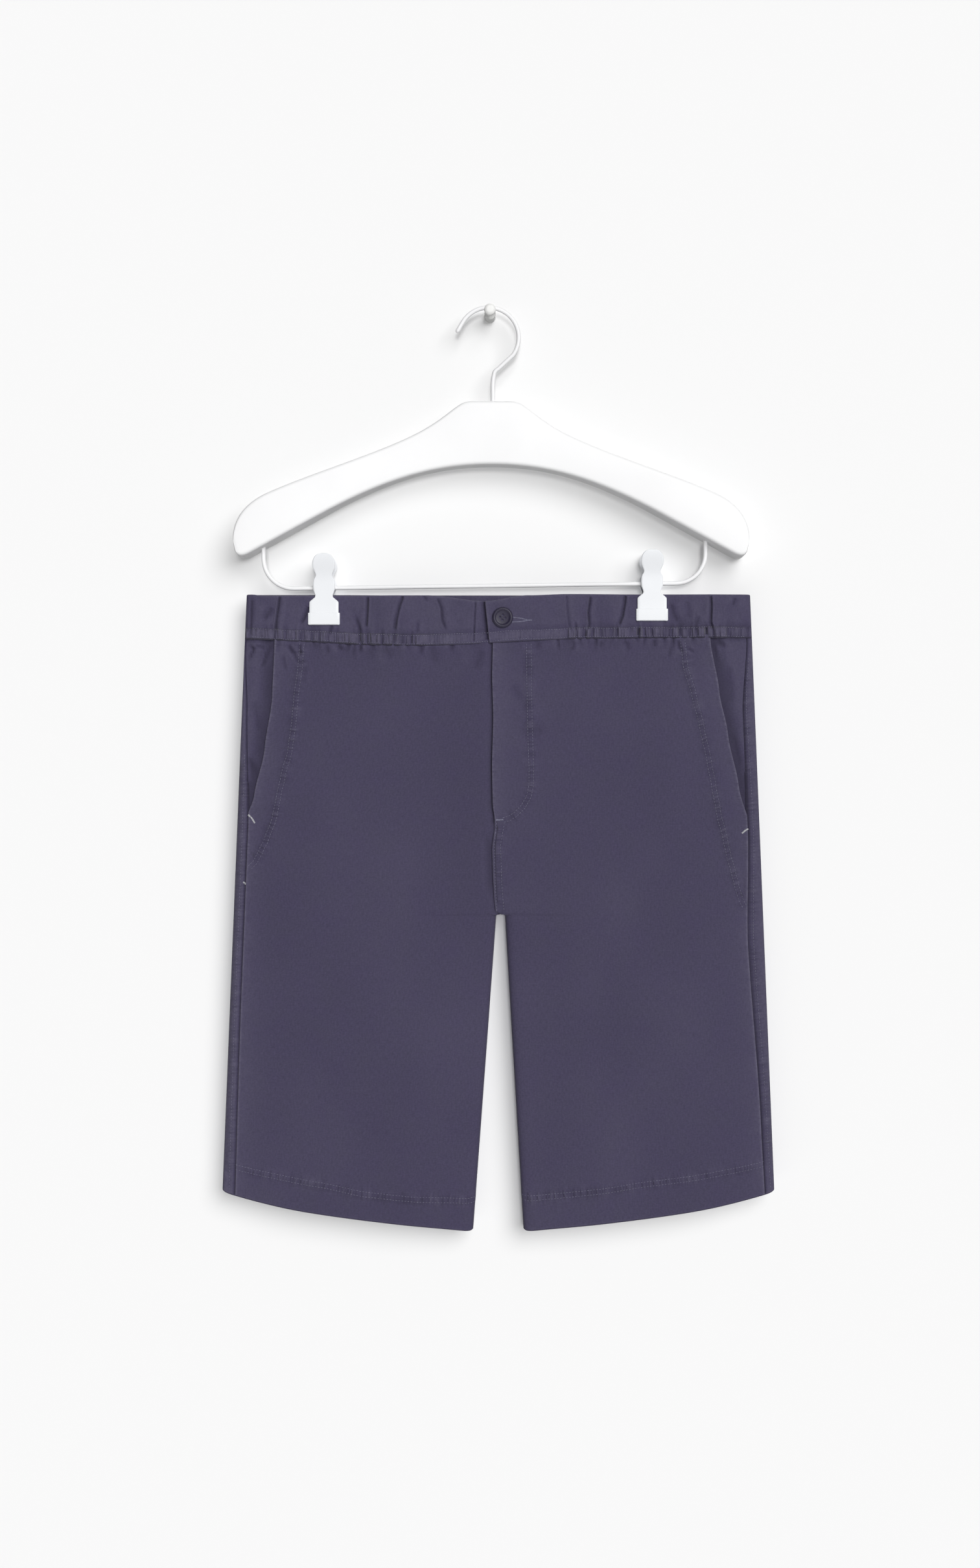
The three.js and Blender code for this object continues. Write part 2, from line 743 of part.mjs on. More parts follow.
// One plate of a clip. It lies along the waistband at its jaw and leans away from the bar at its finger head.
function clipPlate({ x, z }, face) {
  const inside = (rise) => {
    const lean = smooth((rise - 4) / 24) * (clip.spread - clip.pinch - seamGap);
    return clip.pinch + 2 * seamGap + lean;
  };
  const layer = (depth) =>
    clipRows.map((row) =>
      [-1, 1].map((side) => place(x + side * row.half, z + row.z, wireY + face * (inside(row.z) + depth))),
    );
  return wallBetween(layer(clip.plate), layer(0));
}

function barHeight(x) {
  const t = (x - bar.right.x) / (bar.left.x - bar.right.x);
  return mix(bar.right.z, bar.left.z, t);
}

function clipBarrel({ x }) {
  const half = clip.barrelLength / 2;
  const from = place(x - half, barHeight(x - half));
  const to = place(x + half, barHeight(x + half));
  const beyond = to.clone().sub(from);
  const drill = rod(from.clone().sub(beyond), to.clone().add(beyond), wire.radius + 2 * seamGap, 12);
  return cut(rod(from, to, clip.barrelRadius, 16), drill);
}

// ---------------------------------------------------------------- assembly

function named(name, geometry, finish) {
  const mesh = new THREE.Mesh(geometry, finish);
  mesh.name = name;
  return mesh;
}

const part = new THREE.Group();

const shorts = new THREE.Group();
shorts.position.set(garment.x, garment.midY, garment.topZ);
for (const side of ["right", "left"]) {
  shorts.add(named(`front_${side}`, frontPanel(side), materials.twill));
  shorts.add(named(`back_${side}`, backPanel(side), materials.twill));
  shorts.add(named(`pocket_${side}`, pocket(side), materials.twill));
  shorts.add(named(`hem_${side}`, hemRing(side), materials.twill));
}
shorts.add(named("waistband_right", rightBand(), materials.twill));
shorts.add(named("waistband_left", leftBand(), materials.twill));
shorts.add(named("waistband_back", backBand(), materials.twill));
shorts.add(named("fly_underlap", flyUnderlapPanel(), materials.twill));
shorts.add(named("button", buttonDisc(), materials.buttonPlastic));
shorts.add(named("button_thread", buttonThread(), materials.thread));
part.add(shorts);

part.add(named("hanger_body", hangerBody(), materials.whitePaint));
part.add(named("hanger_hook", hangerHook(), materials.whiteMetal));
part.add(named("hanger_bar", hangerBar(), materials.whiteMetal));
for (const spot of clips) {
  part.add(named(`clip_${spot.side}_front`, clipPlate(spot, -1), materials.whiteMetal));
  part.add(named(`clip_${spot.side}_back`, clipPlate(spot, 1), materials.whiteMetal));
  part.add(named(`clip_${spot.side}_barrel`, clipBarrel(spot), materials.whiteMetal));
}
part.add(named("wall_peg", wallPeg(), materials.pegPaint));

export default part;
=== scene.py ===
import math

import bmesh
import bpy
import numpy as np
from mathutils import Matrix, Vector


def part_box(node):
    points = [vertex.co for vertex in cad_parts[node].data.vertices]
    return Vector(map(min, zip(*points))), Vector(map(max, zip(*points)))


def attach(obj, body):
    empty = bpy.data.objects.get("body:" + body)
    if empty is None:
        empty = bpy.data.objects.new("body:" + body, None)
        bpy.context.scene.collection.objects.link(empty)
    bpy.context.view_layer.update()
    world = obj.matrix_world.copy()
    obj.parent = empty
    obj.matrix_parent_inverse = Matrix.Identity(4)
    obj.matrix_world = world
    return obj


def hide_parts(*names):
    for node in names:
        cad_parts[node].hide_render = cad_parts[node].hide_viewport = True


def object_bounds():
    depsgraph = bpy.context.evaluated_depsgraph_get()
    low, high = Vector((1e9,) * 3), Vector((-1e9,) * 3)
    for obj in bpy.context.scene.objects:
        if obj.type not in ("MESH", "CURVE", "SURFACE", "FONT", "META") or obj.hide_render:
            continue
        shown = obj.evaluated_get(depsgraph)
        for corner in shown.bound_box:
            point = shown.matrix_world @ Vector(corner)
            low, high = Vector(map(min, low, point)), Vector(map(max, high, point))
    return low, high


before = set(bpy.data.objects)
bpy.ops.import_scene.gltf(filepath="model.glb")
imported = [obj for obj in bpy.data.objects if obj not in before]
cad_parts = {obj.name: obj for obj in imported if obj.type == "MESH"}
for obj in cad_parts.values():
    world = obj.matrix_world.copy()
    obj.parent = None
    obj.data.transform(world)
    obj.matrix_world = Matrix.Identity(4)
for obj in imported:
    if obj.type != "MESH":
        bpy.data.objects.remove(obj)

cadBox = [list(corner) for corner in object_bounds()]

# Bermuda shorts that hang by two clips from a white hanger on a wall peg. The camera looks along +Y, at the
# front. The cloth is worked out in millimetres, from the middle of the waistband's top edge: x to the viewer's
# right, y into the wall, z up. Right and left are the wearer's, so the right leg is at -x.

hemLow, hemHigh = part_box("hem_right")[0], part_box("hem_left")[1]
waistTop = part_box("waistband_back")[1][2]
garmentOrigin = np.array([(hemLow[0] + hemHigh[0]) / 2, (hemLow[1] + hemHigh[1]) / 2, waistTop])

cameraSettings = {
    "distance": 1.5,  # metres, from the front of the shorts
    "height": -0.411,  # level with the middle of the legs
    "fieldHeight": 1.3552,  # metres seen from top to bottom, in the plane of the shorts' front
}


def makeCamera(settings):
    data = bpy.data.cameras.new("camera")
    data.sensor_width = 36
    data.lens = 36 * settings["distance"] / settings["fieldHeight"]
    data.clip_end = 30
    camera = bpy.data.objects.new("camera", data)
    camera.location = (0, hemLow[1] - settings["distance"], settings["height"])
    camera.rotation_euler = (math.radians(90), 0, 0)
    bpy.context.scene.collection.objects.link(camera)
    bpy.context.scene.camera = camera


makeCamera(cameraSettings)
print("camera placed")

# Materials


def newMaterial(name):
    material = bpy.data.materials.new(name)
    material.use_nodes = True
    tree = material.node_tree
    tree.nodes.clear()
    out = tree.nodes.new("ShaderNodeOutputMaterial")
    shader = tree.nodes.new("ShaderNodeBsdfPrincipled")
    tree.links.new(shader.outputs["BSDF"], out.inputs["Surface"])
    return material, tree, shader


def setInputs(tree, node, inputs):
    for key, value in inputs.items():
        if isinstance(value, bpy.types.NodeSocket):
            tree.links.new(value, node.inputs[key])
        else:
            node.inputs[key].default_value = value


def addNode(tree, kind, inputs=None, **settings):
    node = tree.nodes.new(kind)
    for key, value in settings.items():
        setattr(node, key, value)
    setInputs(tree, node, inputs or {})
    return node


def scaledCoordinates(tree, source, scale, turn=0.0):
    inputs = {"Vector": source, "Scale": scale, "Rotation": (0, 0, turn)}
    return addNode(tree, "ShaderNodeMapping", inputs).outputs["Vector"]


def noise(tree, vector, scale, detail=2.0, roughness=0.5):
    inputs = {"Vector": vector, "Scale": scale, "Detail": detail, "Roughness": roughness}
    return addNode(tree, "ShaderNodeTexNoise", inputs).outputs["Fac"]


def remap(tree, value, low, high, newLow, newHigh):
    inputs = {"Value": value, "From Min": low, "From Max": high, "To Min": newLow, "To Max": newHigh}
    return addNode(tree, "ShaderNodeMapRange", inputs).outputs["Result"]


def calc(tree, operation, a, b):
    return addNode(tree, "ShaderNodeMath", {0: a, 1: b}, operation=operation).outputs[0]


def blend(tree, factor, a, b):
    node = addNode(tree, "ShaderNodeMix", data_type="RGBA")
    sockets = [s for s in node.inputs if s.enabled]
    for socket, value in zip(sockets, (factor, a, b)):
        if isinstance(value, bpy.types.NodeSocket):
            tree.links.new(value, socket)
        else:
            socket.default_value = value
    return next(s for s in node.outputs if s.enabled)


def bump(tree, height, distance, strength, over=None):
    inputs = {"Height": height, "Distance": distance, "Strength": strength}
    if over is not None:
        inputs["Normal"] = over
    return addNode(tree, "ShaderNodeBump", inputs).outputs["Normal"]


def brightened(tree, colour, value):
    return addNode(tree, "ShaderNodeHueSaturation", {"Value": value, "Color": colour}).outputs["Color"]


def objectPlace(tree):
    return addNode(tree, "ShaderNodeTexCoord").outputs["Object"]


def marked(tree, name):
    return addNode(tree, "ShaderNodeAttribute", attribute_name=name).outputs["Fac"]


twillLook = {
    "colour": (0.0595, 0.0515, 0.0965, 1),
    "greyer": (0.0605, 0.0540, 0.0945, 1),
    # The lighter colour, for worn edges and ridges and for the painted light on the side strips.
    "wornAndPaintedLight": (0.125, 0.115, 0.170, 1),
    # The dark colour is painted shade, for creases, laps, seams and the valleys of puckered rows.
    "paintedShade": (0.022, 0.019, 0.035, 1),
    "streak": 0.07, "speck": 0.09,  # how uneven the yarns' dye is
    "roughness": 0.92, "specular": 0.2, "sheen": 0.12, "sheenRoughness": 0.45,
    "yarnsPerMetre": 1500, "twillAngle": 27, "yarnDepth": 0.00012, "yarnStrength": 0.55,
    "gatherScale": (170, 60, 38),  # the folds that the elastic draws up
    "ladderSteps": 520, "ladderPaintedShade": 0.14, "ladderWear": 0.42,  # and those along a double row of stitches
    "drawnDepth": 0.004, "drawnStrength": 0.75,
    "crumpleScale": 230, "crumpleDepth": 0.0006, "crumpleStrength": 0.22,
}


# Washed cotton twill. The UV map is in metres of cloth. Of the attributes, the wear-and-shade mark is lighter on
# worn edges and ridges and paints light on the side strips, and paints shade, darker, in creases, under laps and at
# seams; gather and pucker say how strongly the cloth is drawn up, and along is how far along the stitches a place
# is.
def makeTwill(look):
    material, tree, shader = newMaterial("washedTwill")
    cloth = addNode(tree, "ShaderNodeUVMap", uv_map="cloth").outputs["UV"]
    place = objectPlace(tree)
    streaks = noise(tree, scaledCoordinates(tree, cloth, (1000, 190, 1)), 1, 2)
    specks = noise(tree, scaledCoordinates(tree, cloth, (520, 760, 1)), 1, 2)
    streaky = remap(tree, streaks, 0.3, 0.7, -look["streak"], look["streak"])
    specked = remap(tree, specks, 0.3, 0.7, -look["speck"], look["speck"])
    mottle = remap(tree, noise(tree, place, 60, 4, 0.6), 0.3, 0.7, 0, 1)
    dyed = blend(tree, mottle, look["colour"], look["greyer"])
    dyed = brightened(tree, dyed, calc(tree, "ADD", calc(tree, "ADD", streaky, specked), 1.0))

    wearAndShade, gather, pucker = marked(tree, "wearAndShade"), marked(tree, "gather"), marked(tree, "pucker")
    patchy = remap(tree, noise(tree, place, 420, 2), 0.3, 0.7, 0.55, 1.25)
    light = calc(tree, "MULTIPLY", remap(tree, wearAndShade, 0, 1, 0, 1), patchy)
    colour = blend(tree, light, dyed, look["wornAndPaintedLight"])
    # Where the mark is below 0, painted shade darkens the colour.
    colour = blend(tree, remap(tree, wearAndShade, 0, -1, 0, 1), colour, look["paintedShade"])

    stepped = calc(tree, "MULTIPLY", marked(tree, "along"), look["ladderSteps"])
    steps = addNode(tree, "ShaderNodeCombineXYZ", {0: stepped})
    wander = scaledCoordinates(tree, place, (45, 45, 45))
    uneven = addNode(tree, "ShaderNodeVectorMath", {0: steps.outputs[0], 1: wander})
    ladder = noise(tree, uneven.outputs[0], 1, 0.6)
    # Painted shade in the valleys of a puckered row, and lighter wear on its ridges.
    valleys = calc(tree, "MULTIPLY", remap(tree, ladder, 0.32, 0.5, 1, 0), pucker)
    colour = blend(tree, calc(tree, "MULTIPLY", valleys, look["ladderPaintedShade"]), colour, look["paintedShade"])
    ridges = calc(tree, "MULTIPLY", remap(tree, ladder, 0.52, 0.75, 0, 1), pucker)
    colour = blend(tree, calc(tree, "MULTIPLY", ridges, look["ladderWear"]), colour, look["wornAndPaintedLight"])

    folds = noise(tree, scaledCoordinates(tree, place, look["gatherScale"]), 1, 1)
    drawnUp = calc(tree, "ADD", calc(tree, "MULTIPLY", folds, gather), calc(tree, "MULTIPLY", ladder, pucker))
    normal = bump(tree, drawnUp, look["drawnDepth"], look["drawnStrength"])
    yarns = scaledCoordinates(tree, cloth, (look["yarnsPerMetre"],) * 3, math.radians(look["twillAngle"]))
    twill = addNode(tree, "ShaderNodeTexWave", {"Vector": yarns, "Scale": 0.32, "Distortion": 0.6, "Detail": 1})
    height = calc(tree, "ADD", calc(tree, "MULTIPLY", twill.outputs["Fac"], 0.5), streaks)
    normal = bump(tree, height, look["yarnDepth"], look["yarnStrength"], normal)
    crumple = noise(tree, place, look["crumpleScale"], 4, 0.65)
    normal = bump(tree, crumple, look["crumpleDepth"], look["crumpleStrength"], normal)
    setInputs(tree, shader, {
        "Base Color": colour, "Normal": normal,
        "Roughness": look["roughness"], "Specular IOR Level": look["specular"],
        "Sheen Weight": look["sheen"], "Sheen Roughness": look["sheenRoughness"]})
    return material


def makeThread(name, colour):
    material, tree, shader = newMaterial(name)
    place = objectPlace(tree)
    uneven = remap(tree, noise(tree, place, 900, 1), 0.3, 0.7, 0.75, 1.2)
    setInputs(tree, shader, {
        "Base Color": brightened(tree, colour, uneven),
        "Normal": bump(tree, noise(tree, place, 2600, 1), 0.0001, 0.4),
        "Roughness": 0.75, "Sheen Weight": 0.15})
    return material


# Paint, coated steel and plastic: a faint mottle, a fine orange peel, and a gloss that is a little uneven.
def makeSmooth(name, colour, roughness, peel=0.25, peelScale=420, mottle=0.02):
    material, tree, shader = newMaterial(name)
    place = objectPlace(tree)
    value = remap(tree, noise(tree, place, 26, 3), 0.3, 0.7, 1 - mottle, 1 + mottle)
    setInputs(tree, shader, {
        "Base Color": brightened(tree, colour, value),
        "Roughness": remap(tree, noise(tree, place, 60, 2), 0.3, 0.7, roughness - 0.05, roughness + 0.06),
        "Normal": bump(tree, noise(tree, place, peelScale, 2), 0.0002, peel)})
    return material


washedTwill = makeTwill(twillLook)
seamThread = makeThread("seamThread", (0.140, 0.134, 0.198, 1))
bartackThread = makeThread("bartackThread", (0.52, 0.52, 0.55, 1))
buttonholeThread = makeThread("buttonholeThread", (0.20, 0.195, 0.285, 1))
navyPlastic = makeSmooth("navyPlastic", (0.024, 0.020, 0.042, 1), 0.45, peel=0.12)
paintedWood = makeSmooth("paintedWood", (0.93, 0.93, 0.935, 1), 0.5, peel=0.2, peelScale=260, mottle=0.012)
coatedSteel = makeSmooth("coatedSteel", (0.90, 0.90, 0.91, 1), 0.4, peel=0.1)
clipPlastic = makeSmooth("clipPlastic", (0.84, 0.855, 0.88, 1), 0.4, peel=0.15, mottle=0.01)
pegPaint = makeSmooth("pegPaint", (0.88, 0.88, 0.865, 1), 0.5, peel=0.45, peelScale=700)
print("materials made")

# Pieces


def addPiece(name, mesh, material=None):
    if material:
        mesh.materials.append(material)
    piece = bpy.data.objects.new(name, mesh)
    bpy.context.scene.collection.objects.link(piece)
    return piece


def register(piece, slotName, *nodes):
    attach(piece, "root")
    if nodes:
        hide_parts(*nodes)


# The faces of a closed thin shell: an outer and an inner grid of points, and the strips that join their edges.
def shellFaces(rows, columns, ring=False):
    wrap = columns if ring else columns - 1
    r, c = np.meshgrid(np.arange(rows - 1), np.arange(wrap), indexing="ij")
    a = (r * columns + c).ravel()
    b = (r * columns + (c + 1) % columns).ravel()
    size = rows * columns
    outside = np.stack([a, a + columns, b + columns, b], 1)
    faces = [outside, outside[:, ::-1] + size]
    top, nextTop = np.arange(wrap), (np.arange(wrap) + 1) % columns
    foot, nextFoot = top + (rows - 1) * columns, nextTop + (rows - 1) * columns
    faces.append(np.stack([top, nextTop, nextTop + size, top + size], 1))
    faces.append(np.stack([nextFoot, foot, foot + size, nextFoot + size], 1))
    if not ring:
        first = np.arange(rows - 1) * columns
        last = first + columns - 1
        faces.append(np.stack([first + columns, first, first + size, first + columns + size], 1))
        faces.append(np.stack([last, last + columns, last + columns + size, last + size], 1))
    return np.concatenate(faces)


# The form of the shorts

shape = {
    "waistHalf": 219.0,
    "hemHalf": 240.0,
    "sideLength": 518.5,
    "innerLength": 553.0,
    "crotchDepth": 278.0,
    "foldRadius": 12.0,  # how far in from a fold the cloth reaches its full depth
    "foldCrispness": 3.0,  # 2 is a round fold, more is a pressed one
    "sideDepth": 0.5, "sideTaper": 75.0,  # how much of its depth the cloth keeps at the outer folds, and from where
    "gapDepth": 0.62, "gapTaper": 70.0,  # the same at the inner folds
    "halfGap": 0.2,  # between the front and the back, at the folds
    "clothThickness": 0.9,
    "hemRise": 24.0,
    "hemKick": 10.5,
}
legGap = {"x": 2.0, "topHalf": 3.7, "hemHalf": 22.0, "archHeight": 1.6}
waistSeam = {"z": -38.0, "sag": 7.0, "sagX": -75.0, "spread": 105.0}
clipHold = {"places": (-151.3, 133.3), "pinch": 4.0}  # where the clips hold the band nearly shut
depthTable = [(0, 7), (-60, 8.6), (-150, 10.8), (-300, 11.4), (-560, 11)]  # z, half the depth
stripTable = {  # z, how far the back comes round on to the front
    "right": [(-50, 1.5), (-100, 5), (-200, 10), (-360, 10), (-560, 12)],
    "left": [(-40, 5), (-100, 11), (-210, 11), (-300, 15), (-450, 10), (-560, 8.5)],
}
mouthTable = {  # z, the pocket mouth's distance from the middle
    "right": [(-40, 194.5), (-90, 196.5), (-135, 203), (-175, 212), (-198, 220), (-239, 230)],
    "left": [(-40, 184), (-84, 191.5), (-121, 199), (-167, 208.5), (-208, 220), (-277, 236)],
}
pocketStitchTable = {  # z, the pocket's stitching on the front
    "right": [(-40, 170.5), (-62, 172), (-90, 175.5), (-109, 177), (-135, 180.3), (-158, 186.5), (-176, 190.5),
              (-194, 194), (-213, 201), (-223, 206), (-232, 210.5), (-236.5, 215)],
    "left": [(-40, 160), (-61, 162), (-88, 169.5), (-115, 176), (-146, 182.5), (-164, 186), (-189, 190.5),
             (-213, 196.5), (-227, 199.5), (-241, 203.5), (-252, 206.3), (-264, 209.5), (-270, 212.8)],
}
flyEdgeTable = [(-40, -5), (-71, -5.6), (-107, -4.7), (-148, -5.7), (-182, -5.2), (-194, -3.5), (-203, -3.4),
                (-220, -5.5), (-240, -5), (-262, -3.9), (-278, -2.2)]  # z, x
legLength = shape["innerLength"] - shape["crotchDepth"]
crotchZ = -shape["crotchDepth"]
signOf = {"right": -1.0, "left": 1.0}


def mix(a, b, t):
    return a + (b - a) * t


def bell(distance, width):
    return np.exp(-(distance / width) ** 2)


def smooth(t):
    s = np.clip(t, 0, 1)
    return s * s * (3 - 2 * s)


# Reads a two-column table at some places, rounding its corners a little.
def readTable(table, at):
    rows = np.array(sorted(table), float)
    at = np.clip(np.asarray(at, float), rows[0, 0], rows[-1, 0])
    i = np.clip(np.searchsorted(rows[:, 0], at) - 1, 0, len(rows) - 2)
    t = (at - rows[i, 0]) / (rows[i + 1, 0] - rows[i, 0])
    return mix(rows[i, 1], rows[i + 1, 1], mix(t, smooth(t), 0.5))


def outerEdge(z):
    return mix(shape["waistHalf"], shape["hemHalf"], -z / shape["sideLength"])


def gapHalf(z):
    below = np.maximum(crotchZ - z, 0)
    arch = np.sqrt(1 - (1 - np.minimum(1, below / legGap["archHeight"])) ** 2)
    return arch * mix(legGap["topHalf"], legGap["hemHalf"], below / legLength)


def gapMiddle(z):
    return legGap["x"] * (1 - np.maximum(crotchZ - z, 0) / legLength)


def hemZ(x):
    t = (np.abs(x) - legGap["hemHalf"]) / (shape["hemHalf"] - legGap["hemHalf"])
    corner = 1.6 * np.exp(-np.maximum(t, 0) * 90) + 1.2 * np.exp(-np.maximum(1 - t, 0) * 90)
    return -shape["innerLength"] + shape["hemRise"] * t + shape["hemKick"] * t ** 4 + corner


def waistSeamZ(x):
    return waistSeam["z"] - waistSeam["sag"] * bell(x - waistSeam["sagX"], waistSeam["spread"])


def sideSeam(side, z):
    return outerEdge(z) - readTable(stripTable[side], z)


def pocketMouth(side, z):
    seam = sideSeam(side, z)
    foot = min(row[0] for row in mouthTable[side])
    return np.where(z < foot, seam, np.minimum(readTable(mouthTable[side], z), seam))


def flyEdge(z):
    return readTable(flyEdgeTable, z)


# 0 in the legs and 1 above the crotch, where the right and left halves are sewn together.
def aboveCrotch(z, over):
    return smooth((z - crotchZ - 1) / over)


def roundness(distance):
    return 1 - np.clip(distance / shape["foldRadius"], 0, 1)


def fold(distance):
    power = shape["foldCrispness"]
    return (1 - roundness(distance) ** power) ** (1 / power)


def openness(x, z):
    value = np.ones(np.broadcast(x, z).shape)
    for clipX in clipHold["places"]:
        aside = smooth((np.abs(x - clipX) - 18) / 45)
        below = smooth((-z - 34) / 90)
        value = np.minimum(value, 1 - (1 - aside) * (1 - below))
    return value


def awayFromGap(x, z):
    above = z - crotchZ
    aside = x - gapMiddle(z)
    across = np.hypot(aside, above)
    safe = np.maximum(across, 1e-6)
    isAbove = above > 0
    distance = np.where(isAbove, across, np.abs(aside) - gapHalf(z))
    outX = np.where(isAbove, aside / safe, np.where(aside < 0, -1.0, 1.0))
    return distance, outX, np.where(isAbove, above / safe, 0.0)


# Points on the front (face -1) or the back (face 1) of the flattened shorts, lifted off it by lift.
def bagPoints(face, x, z, lift):
    x, z, lift = np.broadcast_arrays(np.asarray(x, float), np.asarray(z, float), np.asarray(lift, float))
    half = mix(clipHold["pinch"], readTable(depthTable, z), openness(x, z))
    toSide = outerEdge(z) - np.abs(x)
    toGap, gapX, gapZ = awayFromGap(x, z)
    half = half * mix(shape["sideDepth"], 1, smooth(toSide / shape["sideTaper"]))
    half = half * mix(shape["gapDepth"], 1, smooth(toGap / shape["gapTaper"]))
    atSide, atGap = fold(toSide), fold(toGap)
    steep, power = half / shape["foldRadius"], shape["foldCrispness"]
    offSide = steep * roundness(toSide) ** (power - 1) * atGap ** power
    offGap = steep * roundness(toGap) ** (power - 1) * atSide ** power
    inward = np.stack([
        -np.sign(x) * offSide + gapX * offGap,
        -face * np.maximum((atSide * atGap) ** (power - 1), 1e-4),
        gapZ * offGap,
    ], -1)
    inward /= np.linalg.norm(inward, axis=-1, keepdims=True)
    points = np.stack([x, face * (half * atSide * atGap + shape["halfGap"]), z], -1)
    return points - inward * lift[..., None]


# Relief: creases, gathers and puckers, as millimetres off the plain form

noiseTable = np.random.default_rng(7).random((97, 97)) * 2 - 1


def cloudNoise(x, z, size, seed=0):
    u, v = np.asarray(x) / size + seed * 13.7, np.asarray(z) / size + seed * 5.3
    i, j = np.floor(u).astype(int), np.floor(v).astype(int)
    s, t = smooth(u - i), smooth(v - j)
    at = lambda a, b: noiseTable[(i + a) % 97, (j + b) % 97]
    return mix(mix(at(0, 0), at(1, 0), s), mix(at(0, 1), at(1, 1), s), t)


# The distance of each place from a path, which side of it the place is on, and how far along the path it is.
def nearPath(x, z, path):
    best = np.full(x.shape, 1e9)
    signed = np.zeros(x.shape)
    along = np.zeros(x.shape)
    lengths = [math.dist(a, b) for a, b in zip(path, path[1:])]
    total, done = sum(lengths), 0.0
    for (ax, az), (bx, bz), length in zip(path, path[1:], lengths):
        dx, dz = (bx - ax) / length, (bz - az) / length
        t = np.clip(((x - ax) * dx + (z - az) * dz) / length, 0, 1)
        px, pz = x - ax - t * length * dx, z - az - t * length * dz
        distance = np.hypot(px, pz)
        closer = distance < best
        best = np.where(closer, distance, best)
        signed = np.where(closer, np.sign(dx * pz - dz * px) * distance, signed)
        along = np.where(closer, (done + t * length) / total, along)
        done += length
    return best, signed, along


def placesNear(x, z, path, reach):
    xs, zs = zip(*path)
    return (x > min(xs) - reach) & (x < max(xs) + reach) & (z > min(zs) - reach) & (z < max(zs) + reach)


# A crease is a trough with a low ridge on each side.
def creaseRelief(x, z, creases):
    relief = np.zeros(x.shape)
    for row in creases:
        near = placesNear(x, z, row["path"], row["width"] * 6)
        if not near.any():
            continue
        _, signed, along = nearPath(x[near], z[near], row["path"])
        side = signed * row["steep"]
        scaled = signed / row["width"] * np.where(side > 0, 1.9, np.where(side < 0, 0.75, 1.0))
        trough = 0.75 * bell(scaled, 1) + 0.45 * bell(scaled, 0.4) - 0.32 * bell(np.abs(scaled) - 2.1, 1.1)
        start, end = row["fade"]
        ends = smooth(along / start) * smooth((1 - along) / end)
        relief[near] -= row["depth"] * trough * ends * ((along > 0) & (along < 1))
    return relief


# Cloth draws up a little beside a row of stitches.
def puckerRelief(x, z, paths, height=0.26, reach=4.2, size=3.6):
    relief = np.zeros(x.shape)
    for k, path in enumerate(paths):
        near = placesNear(x, z, path, 14)
        if not near.any():
            continue
        length = sum(math.dist(a, b) for a, b in zip(path, path[1:]))
        distance, _, along = nearPath(x[near], z[near], path)
        ripple = cloudNoise(along * length, 0 * along, size, k + 1)
        ripple = ripple + 0.5 * cloudNoise(along * length, distance, 11, k + 4)
        relief[near] += height * bell(distance, reach) * ripple
        relief[near] -= 0.22 * bell(distance, 0.9)
    return relief


def softWaves(x, z, height=0.13):
    return height * (cloudNoise(x, z * 0.6, 62, 2) + 0.5 * cloudNoise(x, z * 0.7, 27, 3))


# How near each place is to a double row of stitches, from 0 to 1, and how far along the row it is, in metres.
def puckerMask(x, z, paths, reach=3.6):
    nearest, along = np.full(x.shape, 1e3), np.zeros(x.shape)
    for k, path in enumerate(paths):
        near = placesNear(x, z, path, 25)
        if not near.any():
            continue
        distance, _, part = nearPath(x[near], z[near], path)
        distance = distance + 12 * (1 - smooth(part / 0.03)) + 12 * (1 - smooth((1 - part) / 0.06))
        closer = distance < nearest[near]
        length = sum(math.dist(a, b) for a, b in zip(path, path[1:]))
        along[near] = np.where(closer, part * length + 700 * k, along[near])
        nearest[near] = np.where(closer, distance, nearest[near])
    return bell(nearest, reach) * (0.8 + 0.2 * cloudNoise(along, 0 * along, 31, 5)), along * 0.001


# Gathers run down from the waistband on to a panel, some further than others.
def gatherMask(part, x, z, reach=6.0):
    drop = np.maximum(waistSeamZ(x) - z, 0)
    length = reach * (1 + 0.9 * cloudNoise(x, 0 * x, 11, 12))
    return readTable(gatherTable[part], x) * bell(drop, np.maximum(length, 1.5))


# An edge that is folded or cut is rounded off over the cloth's own thickness.
def edgeRound(distance, radius=0.8):
    t = np.clip(distance / radius, 0, 1)
    return -radius * (1 - np.sqrt(1 - (1 - t) ** 2))


# Stitch rows, as paths in x and z on one face

def offsetPath(path, by):
    out = []
    for i, (x, z) in enumerate(path):
        a, b = path[max(i - 1, 0)], path[min(i + 1, len(path) - 1)]
        length = math.dist(a, b)
        dx, dz = (b[0] - a[0]) / length, (b[1] - a[1]) / length
        out.append((x - dz * by, z + dx * by))
    return out


def alongX(fromX, toX, heightAt, step=4.0):
    xs = np.linspace(fromX, toX, max(2, int(abs(toX - fromX) / step)))
    return [(float(x), float(heightAt(x))) for x in xs]


def alongZ(fromZ, toZ, placeAt, step=4.0):
    zs = np.linspace(fromZ, toZ, max(2, int(abs(toZ - fromZ) / step)))
    return [(float(placeAt(z)), float(z)) for z in zs]


hemStitching = {"right": 27.2, "left": 31.0, "spacing": 4.2}  # above the hem's edge
hemWander = {"right": [(-228, 0), (-185, 1), (-150, 0.6), (-117, -2.2), (-77, -2), (-25, 1.2)],
             "left": [(20, -0.5), (91, -0.3), (124, 1.2), (188, 0), (226, -1.6)]}
stripRows = {"low": 1.7, "high": 9.2}  # the waistband's two rows of stitches, above its lower edge
sideRowOffset = {  # z, how far the side stitches are from the seam
    "right": [(-120, 1.5), (-190, 4.8), (-560, 5.4)],
    "left": [(-60, 2.2), (-190, 4.8), (-560, 5.4)],
}


